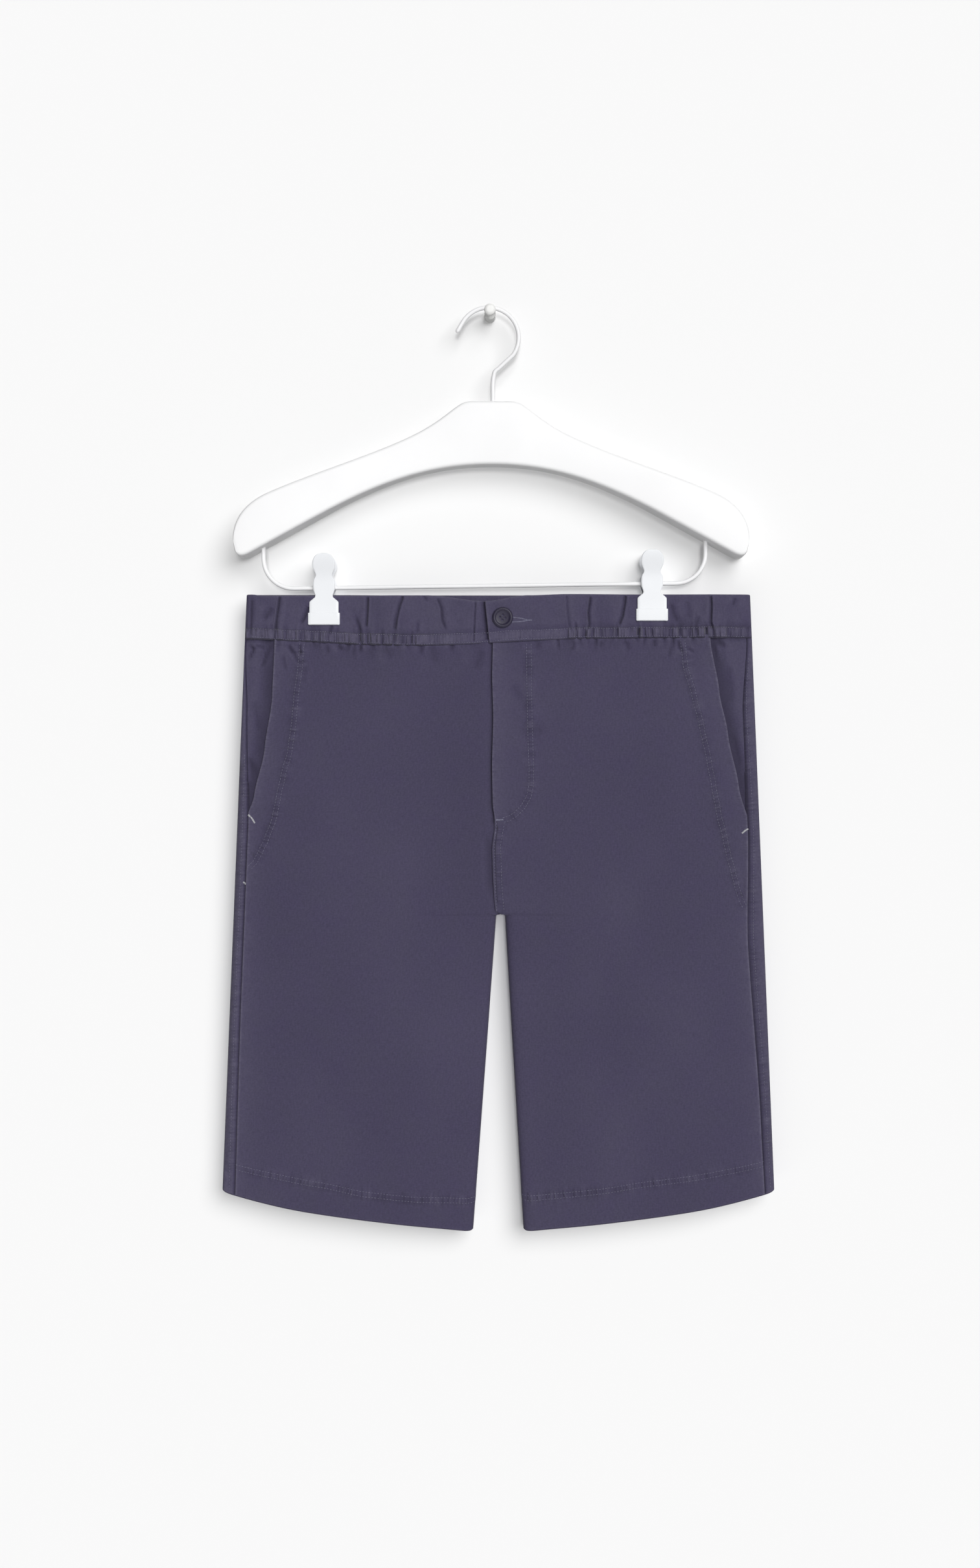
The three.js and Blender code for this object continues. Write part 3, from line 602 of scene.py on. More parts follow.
def hemRow(side, face, drop):
    wander = hemWander[side]
    sign = signOf[side]
    def height(x):
        uneven = readTable(wander, x) if face < 0 else 0.6 * math.sin(x / 31)
        return hemZ(x) + hemStitching[side] + uneven - drop
    inner = 21.2 if side == "left" else -21.2
    outer = sign * (float(sideSeam(side, -500.0)) - 0.8 if face < 0 else 233.5)
    return alongX(inner, outer, height)


def pocketRow(side, by):
    table = pocketStitchTable[side]
    sign = signOf[side]
    first = float(waistSeamZ(sign * 165)) - 2
    path = alongZ(first, min(row[0] for row in table), lambda z: sign * float(readTable(table, z)))
    return offsetPath(path, by)


def sideRow(side):
    sign = signOf[side]
    first, last = {"right": (-140.0, -486.0), "left": (-56.0, -484.0)}[side]
    def place(z):
        return sign * float(sideSeam(side, z) + readTable(sideRowOffset[side], z))
    return alongZ(first, last - 30, place)


flyCurve = [(28.4, -44), (28.6, -80), (29.2, -115), (30.4, -150), (30.3, -166), (28.2, -176), (23, -185.5),
            (16, -192.5), (10.5, -196), (5.5, -197.6)]
crotchRows = [
    [(-1.6, -199), (-3.6, -216), (-2.8, -250), (-1.4, -274)],
    [(5, -199), (1.8, -217), (2.8, -250), (4.6, -273)],
]

frontStitches = {
    "right": [hemRow("right", -1, 0), hemRow("right", -1, hemStitching["spacing"]),
              pocketRow("right", -1.9), pocketRow("right", 1.9)],
    "left": [hemRow("left", -1, 0), hemRow("left", -1, hemStitching["spacing"]),
             pocketRow("left", -1.9), pocketRow("left", 1.9), flyCurve, offsetPath(flyCurve, -4), *crotchRows],
}
frontLadders = {
    "right": [hemRow("right", -1, 2.1), pocketRow("right", 0)],
    "left": [hemRow("left", -1, 2.1), pocketRow("left", 0), offsetPath(flyCurve, -2),
             [(1.7, -199), (-0.9, -217), (0, -250), (1.6, -273)]],
}
backLadders = {side: [hemRow(side, 1, 2.1)] for side in signOf}
backLadders["left"].append(alongZ(-46, -270, lambda z: 1.7))
backStitches = {side: [hemRow(side, 1, 0), hemRow(side, 1, hemStitching["spacing"])] for side in signOf}
backStitches["left"] += [alongZ(-46, -270, lambda z: -1.2), alongZ(-46, -270, lambda z: 4.6)]
sideStitches = {side: [sideRow(side)] for side in signOf}

# The main creases, placed one by one. steep is the side on which a crease is sharper, 1 or -1, and fade is how much
# of its length it takes to fade out at its start and its end.


def crease(depth, width, *path, steep=0, fade=(0.2, 0.2)):
    return {"path": path, "depth": depth, "width": width, "steep": steep, "fade": fade}


frontCreases = {
    "right": [
        crease(0.9, 2.4, (-200.5, -42.5), (-205, -55), steep=1),
        crease(1.0, 1.5, (-183, -43), (-179, -50), (-174, -56)),
        crease(1.0, 1.4, (-172.5, -43.5), (-172, -54)),
        crease(0.8, 1.1, (-181, -48), (-175, -51), (-169, -49)),
        crease(0.7, 1.2, (-178, -55), (-172, -59), (-167, -57)),
        crease(0.5, 1.9, (-187, -52), (-184, -66), steep=1),
        crease(0.4, 2.4, (-167, -61), (-170, -78)),
        crease(1.1, 1.8, (-119.8, -43.5), (-119.6, -53), fade=(0.05, 0.6)),
        crease(0.9, 2.0, (-139, -43), (-136, -49)),
        crease(0.4, 4, (-100, -44), (-92, -56)),
        crease(0.35, 5, (-60, -45), (-52, -60)),
        crease(0.6, 2.0, (-149, -44), (-147, -52)),
        crease(0.4, 5, (-13, -48), (-20, -66)),
        crease(0.5, 4, (-9.4, -206), (-8, -262), steep=-1),
    ],
    "left": [
        crease(0.7, 2, (62, -39.5), (66, -43), (63, -50)),
        crease(0.5, 2.2, (110, -40), (114, -49)),
        crease(0.8, 1.8, (135, -38.5), (136, -46)),
        crease(1.0, 1.5, (156, -38.5), (157, -46), (161, -52)),
        crease(0.8, 1.2, (163, -46), (170, -50)),
        crease(0.6, 1.7, (150, -44), (147, -55), steep=-1),
        crease(0.4, 2.6, (35, -40), (33, -48)),
        crease(0.5, 2, (90, -40), (88, -47)),
        crease(0.3, 5, (12, -78), (20, -92)),
        crease(0.25, 7, (20, -110), (40, -122)),
    ],
}
facingCreases = {
    "right": [
        crease(1.3, 1.5, (-216, -43), (-212, -48), (-216.5, -57), steep=1),
        crease(1.2, 1.5, (-197, -43), (-201, -50), (-206, -64), steep=-1),
        crease(0.9, 1.3, (-215, -47.5), (-208, -45), (-202, -46.5)),
        crease(0.7, 3, (-217, -140), (-209, -162)),
        crease(0.4, 4, (-212, -90), (-208, -120)),
    ],
    "left": [
        crease(0.9, 2.2, (186, -42), (187, -53), (189, -60)),
        crease(1.1, 2.2, (187.5, -41), (192, -40.5), (198, -45), steep=1),
        crease(0.5, 4, (203, -120), (209, -150)),
        crease(0.4, 5, (200, -60), (203, -96)),
    ],
}
backCreases = {
    "right": [
        crease(0.8, 2.4, (-188, -43), (-184, -62), steep=1),
        crease(0.9, 2, (-141, -44), (-144, -58)),
        crease(0.7, 2.6, (-96, -46), (-92, -66)),
        crease(0.8, 2, (-52, -46), (-55, -58)),
        crease(0.6, 2.4, (-24, -45), (-20, -60)),
        crease(0.35, 9, (-170, -330), (-120, -352)),
        crease(0.6, 3, (-228, -372), (-224, -404)),
        crease(0.35, 6, (-16, -268), (-44, -262), (-86, -240), fade=(0.3, 0.7)),
    ],
    "left": [
        crease(0.7, 2.2, (22, -43), (26, -60)),
        crease(0.9, 2.2, (58, -41), (55, -58), steep=-1),
        crease(0.8, 2, (104, -40), (108, -54)),
        crease(0.8, 2.6, (149, -39), (146, -60)),
        crease(0.8, 2.2, (194, -39), (197, -56)),
        crease(0.35, 9, (120, -420), (182, -398)),
        crease(0.3, 6, (20, -266), (52, -254), (74, -236), fade=(0.3, 0.7)),
    ],
}
bandCreases = {
    "right": [
        crease(1.1, 1.5, (-214, -2), (-216, -38), steep=-1, fade=(0.1, 0.05)),
        crease(1.5, 1.35, (-190, -1), (-192.6, -20), (-194.6, -36), (-195, -42), steep=-1, fade=(0.05, 0.02)),
        crease(0.8, 3.2, (-196, -11), (-203.5, -22)),
        crease(1.4, 2.0, (-164.5, -11), (-168.5, -21), (-172, -27), steep=1, fade=(0.02, 0.3)),
        crease(0.9, 1.3, (-172, -32), (-172.5, -43), fade=(0.2, 0.02)),
        crease(1.0, 1.4, (-144, -26), (-147.5, -36), (-147, -43), fade=(0.1, 0.02)),
        crease(1.5, 1.3, (-113, -2), (-113.4, -16), (-114.4, -29), steep=1, fade=(0.05, 0.1)),
        crease(1.0, 1.5, (-124.6, -16), (-122.5, -24), (-120, -31), (-119.5, -44), fade=(0.3, 0.02)),
        crease(1.5, 1.6, (-82.5, -2), (-85.7, -11), (-88, -21), (-89.6, -32), steep=1, fade=(0.02, 0.1)),
        crease(0.8, 1.6, (-65.5, -1), (-61, -7), fade=(0.05, 0.5)),
        crease(1.15, 1.6, (-53.5, -3), (-49.6, -13), (-48.9, -23), (-45, -33), steep=-1, fade=(0.1, 0.2)),
        crease(0.6, 1.6, (-70, -24), (-70.5, -34)),
        crease(0.8, 0.8, (-20, -6), (-21.5, -42), fade=(0.05, 0.05)),
        crease(0.6, 1.5, (-101, -28), (-101.5, -43), fade=(0.5, 0.02)),
        crease(0.9, 1.2, (-90, -33), (-91.5, -45), fade=(0.2, 0.02)),
    ],
    "left": [
        crease(0.6, 1.3, (58.6, -1), (59.6, -16), (61.5, -32), steep=-1, fade=(0.03, 0.2)),
        crease(1.5, 1.3, (79.6, -2), (77.6, -16), (78.4, -26), (76.8, -32), steep=-1, fade=(0.05, 0.1)),
        crease(1.0, 1.3, (66, -22), (68, -33), (67.5, -40), fade=(0.35, 0.02)),
        crease(0.9, 1.2, (75.5, -30), (75, -40), fade=(0.2, 0.02)),
        crease(1.6, 1.7, (110.6, -1), (109.8, -8), (107.8, -19), (104.5, -28), steep=1, fade=(0.03, 0.15)),
        crease(0.8, 2.6, (149.6, -7), (153, -19), (156.4, -25)),
        crease(0.6, 2.2, (174, -18), (172, -26)),
        crease(0.45, 3, (164, -5), (166, -22)),
        crease(1.5, 1.3, (184.5, -1), (185, -10), (184.5, -24), (186.6, -31), (187, -38), steep=1,
               fade=(0.04, 0.02)),
        crease(0.8, 2, (205.6, -3), (203, -11), fade=(0.1, 0.5)),
        crease(0.7, 1.4, (192, -24), (191.5, -39), fade=(0.4, 0.02)),
        crease(0.8, 1.2, (121, -28), (121.5, -39), fade=(0.2, 0.02)),
        crease(0.8, 1.2, (127, -28), (127.4, -39), fade=(0.2, 0.02)),
        crease(0.7, 1.3, (133, -29), (134, -39), fade=(0.2, 0.02)),
        crease(0.7, 1.3, (164, -29), (164.4, -38), fade=(0.2, 0.02)),
        crease(0.8, 1.2, (180, -27), (181, -38), fade=(0.2, 0.02)),
    ],
    "back": [],
}
gatherTable = {  # x, how strongly the elastic draws the cloth up
    "right": [(-220, 0.9), (-178, 0.8), (-140, 1.0), (-92, 1.0), (-55, 0.7), (-38, 0.15), (-20, 0.0)],
    "left": [(0, 0.05), (55, 0.12), (66, 0.9), (100, 1.0), (160, 1.0), (196, 0.8), (220, 0.7)],
    "back": [(-220, 0.9), (220, 1.0)],
}


# The back of the waistband is gathered all the way along, with a fold every three centimetres or so.
def addBackFolds(rng, count=15, spacing=28.0):
    for i in range(count):
        x = (i - (count - 1) / 2) * spacing + rng.uniform(-8, 8)
        lean, length = rng.uniform(-5, 5), rng.uniform(18, 38)
        start = -rng.uniform(0.5, 6)
        path = [(x, start), (x + lean * 0.6, start - length * 0.5), (x + lean, start - length)]
        bandCreases["back"].append(crease(
            rng.uniform(0.8, 1.5), rng.uniform(1.2, 2.2), *path, steep=rng.choice((-1, 1)), fade=(0.05, 0.15)))


addBackFolds(np.random.default_rng(3))


# Short puckers hang from the waistband's lower edge, where it draws a panel in.
def addPuckers(creases, places, rng):
    for place in places:
        x = place + rng.uniform(-1.5, 1.5)
        top, length, lean = float(waistSeamZ(x)) + 1, rng.uniform(5, 15), rng.uniform(-3, 3)
        path = [(x, top), (x + lean * 0.4, top - length * 0.5), (x + lean, top - length)]
        creases.append(crease(
            rng.uniform(0.35, 1.0), rng.uniform(1.3, 2.4), *path, steep=rng.choice((-1, 0, 1)), fade=(0.05, 0.8)))


puckerRng = np.random.default_rng(12)
addPuckers(frontCreases["right"], (-190, -162, -155, -131, -126, -108, -87, -79, -68, -41), puckerRng)
addPuckers(frontCreases["left"], (52, 71, 78, 84, 101, 119, 127, 145, 151, 170), puckerRng)
addPuckers(backCreases["right"], (-203, -176, -160, -152, -127, -110, -84, -71, -62, -38, -12), puckerRng)
addPuckers(backCreases["left"], (11, 34, 47, 70, 82, 91, 117, 131, 140, 163, 178, 207), puckerRng)

# Sheets of cloth

stretched = {  # the first columns' distances from the end of a sheet
    "edge": (0, 0.2, 0.5, 0.9, 1.5, 2.4),
    "fold": (0, 0.002, 0.015, 0.06, 0.18, 0.45, 1.0, 1.8, 3.1, 4.8, 7, 9.6, 12.8),
}


# Columns from start to end: close together at both ends, and even in between.
def columnsBetween(start, end, leadKind, tailKind, count):
    direction = np.sign(end - start)[:, None]
    lead = start[:, None] + direction * np.array(stretched[leadKind])
    tail = end[:, None] - direction * np.array(stretched[tailKind])[::-1]
    t = np.linspace(0, 1, count + 2)[1:-1]
    steady = np.array([start[max(i - 9, 0):i + 10].mean() for i in range(len(start))])
    shift = (start - steady)[:, None]
    middle = mix(lead[:, -1:] - shift, tail[:, :1], t) + shift * (1 - t) ** 6
    return np.concatenate([lead, middle, tail], 1)


# Where the nearest row of stitches changes from one place to the next.
def rowChanges(along):
    changes = np.zeros(along.shape, bool)
    jump = 0.012  # metres
    aside, down = np.abs(np.diff(along, axis=1)) > jump, np.abs(np.diff(along, axis=0)) > jump
    changes[:, :-1] |= aside
    changes[:, 1:] |= aside
    changes[:-1] |= down
    changes[1:] |= down
    return changes


# A sheet of cloth from its outer and inner grids. The grids of marks drive the material.
def finishSheet(name, outer, inner, wearAndShade, ring=False, gather=None, pucker=None, along=None):
    points = np.concatenate([outer.reshape(-1, 3), inner.reshape(-1, 3)]) * 0.001 + garmentOrigin
    faces = shellFaces(*outer.shape[:2], ring)
    a, b, c, d = (points[faces] - points.mean(0)).transpose(1, 0, 2)
    if (a * np.cross(b, c) + a * np.cross(c, d)).sum() < 0:  # six times the volume
        faces = faces[:, ::-1]
    mesh = bpy.data.meshes.new(name)
    mesh.from_pydata(points.tolist(), [], faces.tolist())
    steps = np.linalg.norm(np.diff(outer, axis=1), axis=2)
    across = np.concatenate([0 * outer[:, :1, 0], np.cumsum(steps, 1)], 1)
    middle = outer.shape[1] // 2
    across += outer[:, middle, 0][:, None] - across[:, middle][:, None]
    uv = np.stack([across, outer[:, :, 2]], -1).reshape(-1, 2) * 0.001
    uv = np.concatenate([uv, uv])
    layer = mesh.uv_layers.new(name="cloth")
    corner = np.empty(len(mesh.loops), np.int32)
    mesh.loops.foreach_get("vertex_index", corner)
    layer.data.foreach_set("uv", uv[corner].ravel())
    if along is not None:
        pucker = np.where(rowChanges(along), 0, pucker)
    for kind, values in (("wearAndShade", wearAndShade), ("gather", gather), ("pucker", pucker), ("along", along)):
        values = 0 * wearAndShade if values is None else values + 0 * wearAndShade
        mark = mesh.attributes.new(kind, "FLOAT", "POINT")
        mark.data.foreach_set("value", np.concatenate([values.ravel()] * 2).astype(np.float32))
    mesh.shade_smooth()
    mesh.set_sharp_from_angle(angle=math.radians(50))
    return addPiece(name, mesh, washedTwill)


# Lighter with wear on ridges and edges, and painted shade, darker, in troughs.
def wearAndShadeOf(relief, edges=0.0):
    return np.clip(np.clip(relief, -0.9, 0.35) * 0.55 + edges, -1, 0.9)


def registerCloth(piece, node):
    register(piece, "twill", node)


panelGrid = {"top": 88, "leg": 82, "front": 150, "back": 84}  # rows above and below the crotch, columns across
panelForm = {  # millimetres
    "runIn": 3.2, "step": 1.1,  # how far a panel runs in under the waistband, and steps down to do so
    "ripple": 0.3, "rippleReach": 9.0,  # drawn up in ripples, just below the waistband
    "hemFold": 0.9,  # the panels' foot, above the hem's edge
    "mouthRise": 0.45, "mouthReach": 9.0, "mouthRipple": 0.22,  # a pocket's mouth stands off a little
    # the left side laps over the right one, in front and behind
    "flyRise": 0.55, "flyFootRise": 0.3, "flyReach": 14.0, "frontLap": 4.5, "underFly": 1.55,
    "backSeamX": -4.0, "backRise": 0.35, "backReach": 12.0, "backLap": 3.5, "underBack": 1.4,
    "underSide": 0.75, "sideRipple": 0.2,  # the strip beside the side seam
    "lapOver": 4.0,  # how far any lower layer takes to step down
}
# Above 0 is lighter, from wear, and on the side strips partly painted light; below 0 is painted shade, under laps
# and at the side seam.
wornAndPaintedLightBy = {  # lighter where it is above 0, and shaded where it is below
    "mouth": 0.5, "flyEdge": 0.4, "hem": 0.35, "underFlyFootShade": -0.25, "underFly": -0.9, "sideFold": 0.22,
    "strip": {"right": 0.26, "left": 0.14}, "sideSeam": -0.8, "facing": -0.03, "tab": 0.5, "underTab": -1.1,
    "bandTop": 0.35, "bandFoot": 0.4, "bandStrip": 0.26, "hemTurn": 0.3,
}


# Rows of a panel, from under the waistband, through the crotch, to just above the hem's fold.
def panelHeights(grid):
    return np.concatenate([
        1 - 0.98 * np.linspace(0, 1, grid["top"]) ** 1.35, [0.008, 0.0],
        -np.array([0.1, 0.35, 0.7, 1.0]) * legGap["archHeight"] / legLength,
        np.linspace(-0.014, -0.985, grid["leg"]), [-0.992, -0.997, -1.0]])


def rowHeight(row, x):
    top, foot = waistSeamZ(x) + panelForm["runIn"], hemZ(x) + panelForm["hemFold"]
    return np.where(row >= 0, mix(crotchZ, top, row), mix(crotchZ, foot, -row))


# Where each row of a panel meets an edge that is given by height.
def meetEdge(row, edge):
    x = edge(crotchZ * (1 - row))
    for _ in range(6):
        x = edge(rowHeight(row, x))
    return x


def legEdge(side, z, seamX):
    leg = gapMiddle(z) + signOf[side] * np.maximum(gapHalf(z), shape["halfGap"])
    return np.where(z > crotchZ, seamX, leg)


def frontInner(side, z):
    lap = panelForm["frontLap"] * aboveCrotch(z, 12) * (side == "right")
    return legEdge(side, z, flyEdge(z) + lap)


def backInner(side, z):
    lap = panelForm["backLap"] * aboveCrotch(z, 12) * (side == "right")
    return legEdge(side, z, panelForm["backSeamX"] + lap)


def stepUnderBand(x, z):
    return panelForm["step"] * (1 - smooth((waistSeamZ(x) - z + 1.5) / panelForm["lapOver"]))


def rippleBelowBand(x, z, seed):
    below = bell(waistSeamZ(x) - z, panelForm["rippleReach"])
    return panelForm["ripple"] * below * cloudNoise(x, z * 0.15, 6.5, seed)


# The plain steps of a front, which don't count as ridges and troughs for wear.
def frontSteps(side, x, z):
    steps = -stepUnderBand(x, z)
    if side == "left":
        return steps
    return steps - aboveCrotch(z, 4) * panelForm["underFly"] * smooth((x - flyEdge(z) + 4.2) / panelForm["lapOver"])


def frontLift(side, x, z):
    relief = softWaves(x, z) * smooth((waistSeamZ(x) - z) / 60) + rippleBelowBand(x, z, 8)
    relief = relief + creaseRelief(x, z, frontCreases[side]) + puckerRelief(x, z, frontStitches[side])
    mouth = pocketMouth(side, z) - np.abs(x)
    relief += panelForm["mouthRise"] * np.exp(-np.maximum(mouth, 0) / panelForm["mouthReach"]) + edgeRound(mouth)
    relief += panelForm["mouthRipple"] * bell(mouth, 5) * cloudNoise(z, x * 0, 5.2, 6)
    if side == "left":
        fly = x - flyEdge(z)
        rise = mix(panelForm["flyFootRise"], panelForm["flyRise"], smooth((z + 210) / 20))
        lap = rise * np.exp(-np.maximum(fly, 0) / panelForm["flyReach"]) + edgeRound(fly, 0.7)
        relief += aboveCrotch(z, 4) * lap
    return relief + frontSteps(side, x, z)


def frontPuckers(side, x, z):
    mask, along = puckerMask(x, z, frontLadders[side])
    mouthFoot = min(row[0] for row in mouthTable[side])
    mouth = 0.5 * bell(pocketMouth(side, z) - np.abs(x), 3.5) * smooth((z - mouthFoot) / 14)
    fly = 0.5 * bell(x - flyEdge(z), 3) * aboveCrotch(z, 4) * (side == "left")
    edges = np.maximum(mouth, fly)
    return np.maximum(edges, mask), np.where(edges > mask, z * 0.001, along)


def makeFront(side):
    heights = panelHeights(panelGrid)
    start = meetEdge(heights, lambda z: frontInner(side, z))
    end = meetEdge(heights, lambda z: signOf[side] * pocketMouth(side, z))
    x = columnsBetween(start, end, "fold", "edge", panelGrid["front"])
    z = rowHeight(heights[:, None], x)
    lift = frontLift(side, x, z)
    wornAndPaintedLight = wornAndPaintedLightBy["mouth"] * bell(np.maximum(pocketMouth(side, z) - np.abs(x) - 0.4, 0), 1.1)
    wornAndPaintedLight = wornAndPaintedLight + wornAndPaintedLightBy["hem"] * bell(z - hemZ(x), 1.3)
    if side == "left":
        wornAndPaintedLight = wornAndPaintedLight + wornAndPaintedLightBy["flyEdge"] * bell(x - flyEdge(z), 1.2) * (z > crotchZ + 1)
    else:
        # On the right front, painted shade beside and under the left front's lapped edge.
        paintedShade = mix(wornAndPaintedLightBy["underFlyFootShade"], wornAndPaintedLightBy["underFly"], smooth((z + 202) / 5))
        wornAndPaintedLight = wornAndPaintedLight + paintedShade * bell(np.maximum(flyEdge(z) - x, 0), 1.9) * (z > crotchZ + 1)
    pucker, along = frontPuckers(side, x, z)
    return finishSheet(
        f"front{side.capitalize()}", bagPoints(-1, x, z, lift), bagPoints(-1, x, z, lift - shape["clothThickness"]),
        wearAndShadeOf(lift - frontSteps(side, x, z), wornAndPaintedLight), gather=gatherMask(side, x, z), pucker=pucker, along=along)


def backLift(side, face, x, z):
    relief = softWaves(x + 400 * (face > 0), z) * smooth((waistSeamZ(x) - z) / 60)
    relief += rippleBelowBand(x, z, 9) - stepUnderBand(x, z)
    if face < 0:
        relief -= panelForm["underSide"] * (1 - smooth((np.abs(x) - sideSeam(side, z)) / 3.2))
        return relief + puckerRelief(x, z, sideStitches[side], panelForm["sideRipple"])
    relief += creaseRelief(x, z, backCreases[side]) + puckerRelief(x, z, backStitches[side])
    seam = x - panelForm["backSeamX"]
    if side == "left":
        rise = panelForm["backRise"] * np.exp(-np.maximum(seam, 0) / panelForm["backReach"])
        return relief + aboveCrotch(z, 4) * (rise + edgeRound(seam, 0.7))
    under = panelForm["underBack"] * smooth((seam + panelForm["backLap"]) / panelForm["lapOver"])
    return relief - aboveCrotch(z, 4) * under


# A back comes round the side fold on to the front, where its strip ends at the side seam.
def makeBack(side):
    heights, sign = panelHeights(panelGrid), signOf[side]
    seam = meetEdge(heights, lambda z: sign * (sideSeam(side, z) - 1.0))
    rim = meetEdge(heights, lambda z: sign * outerEdge(z))
    inner = meetEdge(heights, lambda z: backInner(side, z))
    strip = seam[:, None] + (rim - seam)[:, None] * (1 - (1 - np.linspace(0, 1, 20)) ** 3)
    back = columnsBetween(rim, inner, "fold", "fold", panelGrid["back"])[:, 1:]
    parts = []
    for face, x in ((-1, strip), (1, back)):
        z = rowHeight(heights[:, None], x)
        lift = backLift(side, face, x, z) * smooth((outerEdge(z) - np.abs(x)) / 1.5)
        under = bagPoints(face, x, z, lift - shape["clothThickness"])
        parts.append((bagPoints(face, x, z, lift), under, lift, x, z, np.full(x.shape, face < 0)))
    outer, inside, lift, x, z, onStrip = [np.concatenate(pair, 1) for pair in zip(*parts)]
    wornAndPaintedLight = wornAndPaintedLightBy["sideFold"] * bell(outerEdge(z) - np.abs(x), 6) + wornAndPaintedLightBy["hem"] * bell(z - hemZ(x), 1.3)
    toSeam = np.maximum(np.abs(x) - sideSeam(side, z), 0)
    # The strip is lighter, partly from wear and partly as painted light, with painted shade along the side seam.
    wornAndPaintedLight = wornAndPaintedLight + onStrip * (wornAndPaintedLightBy["strip"][side] + wornAndPaintedLightBy["sideSeam"] * bell(toSeam, 1.1))
    pucker, along = puckerMask(x, z, backLadders[side])
    sidePucker, sideAlong = puckerMask(x, z, sideStitches[side])
    return finishSheet(
        f"back{side.capitalize()}", outer, inside, wearAndShadeOf(lift, wornAndPaintedLight), gather=gatherMask("back", x, z),
        pucker=np.where(onStrip, sidePucker, pucker), along=np.where(onStrip, sideAlong, along))


# The layer that shows in a pocket's mouth. It rises towards the side seam, and lies low behind the front.
pocketForm = {
    "depth": 1.35, "over": 15.0, "lowest": -3.2, "thickness": 0.9, "top": -36.0,
    "rows": 110, "columns": 34,
}


def facingLift(side, x, z):
    out = np.abs(x) - pocketMouth(side, z)
    rise = pocketForm["depth"] * (smooth((out - 0.5) / pocketForm["over"]) - 1)
    rise = rise + edgeRound(sideSeam(side, z) - np.abs(x) + 0.4, 0.6)
    return rise + creaseRelief(x, z, facingCreases[side]) * smooth((out + 1) / 4)


def makePocket(side):
    table = pocketStitchTable[side]
    foot = min(row[0] for row in table) - 2
    t = np.linspace(0, 1, pocketForm["rows"])[:, None]
    level = mix(pocketForm["top"], foot, t)
    low = readTable(table, level) - 3
    high = np.maximum(sideSeam(side, level) - 0.3, low + 2)
    x = signOf[side] * mix(low, high, np.linspace(0, 1, pocketForm["columns"])[None, :])
    z = mix(waistSeamZ(x) + 2.0, foot, t)
    lift = facingLift(side, x, z) - panelForm["step"] * (1 - smooth((waistSeamZ(x) - z + 1.0) / 5.5))
    lift = np.maximum(lift, pocketForm["lowest"])
    # The facing is painted darker, as shade, where it lies low by the mouth, and lighter where it rises.
    return finishSheet(
        f"pocket{side.capitalize()}", bagPoints(-1, x, z, lift),
        bagPoints(-1, x, z, lift - pocketForm["thickness"]),
        wearAndShadeOf(lift + 0.4, wornAndPaintedLightBy["facing"]), gather=gatherMask(side, x, z))


underlapForm = {"fromX": -19, "toX": 12, "foot": -196.0, "lift": -3.0, "thickness": 0.8}


def makeUnderlap(form):
    t = np.linspace(0, 1, 60)[:, None]
    x = np.linspace(form["fromX"], form["toX"], 16)[None, :] + 0 * t
    z = mix(waistSeamZ(x) + 1.5, form["foot"], t)
    lift = form["lift"] + 0.15 * cloudNoise(x, z, 18, 5)
    inner = bagPoints(-1, x, z, lift - form["thickness"])
    return finishSheet("flyUnderlap", bagPoints(-1, x, z, lift), inner, 0 * lift)


# The hem's turned-up layer, inside the leg, with the fold at its lower edge.
# Lift; height, or the share of the hem's depth; the layer's thickness; how far its inner face is lower.
hemProfile = [
    (-1.15, None, 1.0, 0.85, 0), (-1.15, None, 0.66, 0.85, 0), (-1.15, None, 0.33, 0.85, 0),
    (-1.15, 3.0, 0, 0.85, 0), (-1.1, 1.6, 0, 0.85, 0.1), (-0.85, 0.85, 0, 0.75, 0.35),
    (-0.4, 0.35, 0, 0.5, 0.45), (-0.05, 0.25, 0, 0.35, 0.35),
]


def makeHem(side):
    sign = signOf[side]
    inside, outside = gapMiddle(-548.0) + sign * gapHalf(-548.0), sign * outerEdge(-522.0)
    bend = (1 - np.cos(np.linspace(0, np.pi, 90))) / 2
    depth = hemStitching[side] + 2.5
    layers = []
    for isInner in (0, 1):
        rows = []
        for lift, height, share, thickness, drop in hemProfile:
            ring = []
            for face, places in ((-1, bend), (1, bend[::-1][1:-1])):
                x = mix(inside, outside, places)
                z = hemZ(x) + (depth * share if height is None else height) - isInner * drop
                edge = outerEdge(z) - 0.02
                ring.append(bagPoints(face, np.clip(x, -edge, edge), z, lift - isInner * thickness))
            rows.append(np.concatenate(ring))
        layers.append(np.array(rows))
    atFold = np.arange(len(hemProfile))[:, None] > 4
    wornAndPaintedLight = wornAndPaintedLightBy["hemTurn"] * atFold + np.zeros(layers[0].shape[:2])
    return finishSheet(f"hem{side.capitalize()}", *layers, wornAndPaintedLight, ring=True)


# The waistband
band = {
    "thickness": 1.9, "tabEdgeTop": -11.8, "tabEdgeFoot": -7.9, "underTabTo": 16.0,
    "rows": 40, "columns": {"right": 430, "left": 420, "back": 640},
    "fineGather": 1.35, "broadGather": 0.7,  # cloth drawn up by the elastic, in the stitched strip and above it
    "stripRise": 0.3, "aboveStrip": 0.45, "stitchDip": 0.36, "swell": 0.25, "grain": 0.12,
    "tabRise": 0.9, "underTab": 2.5,
}


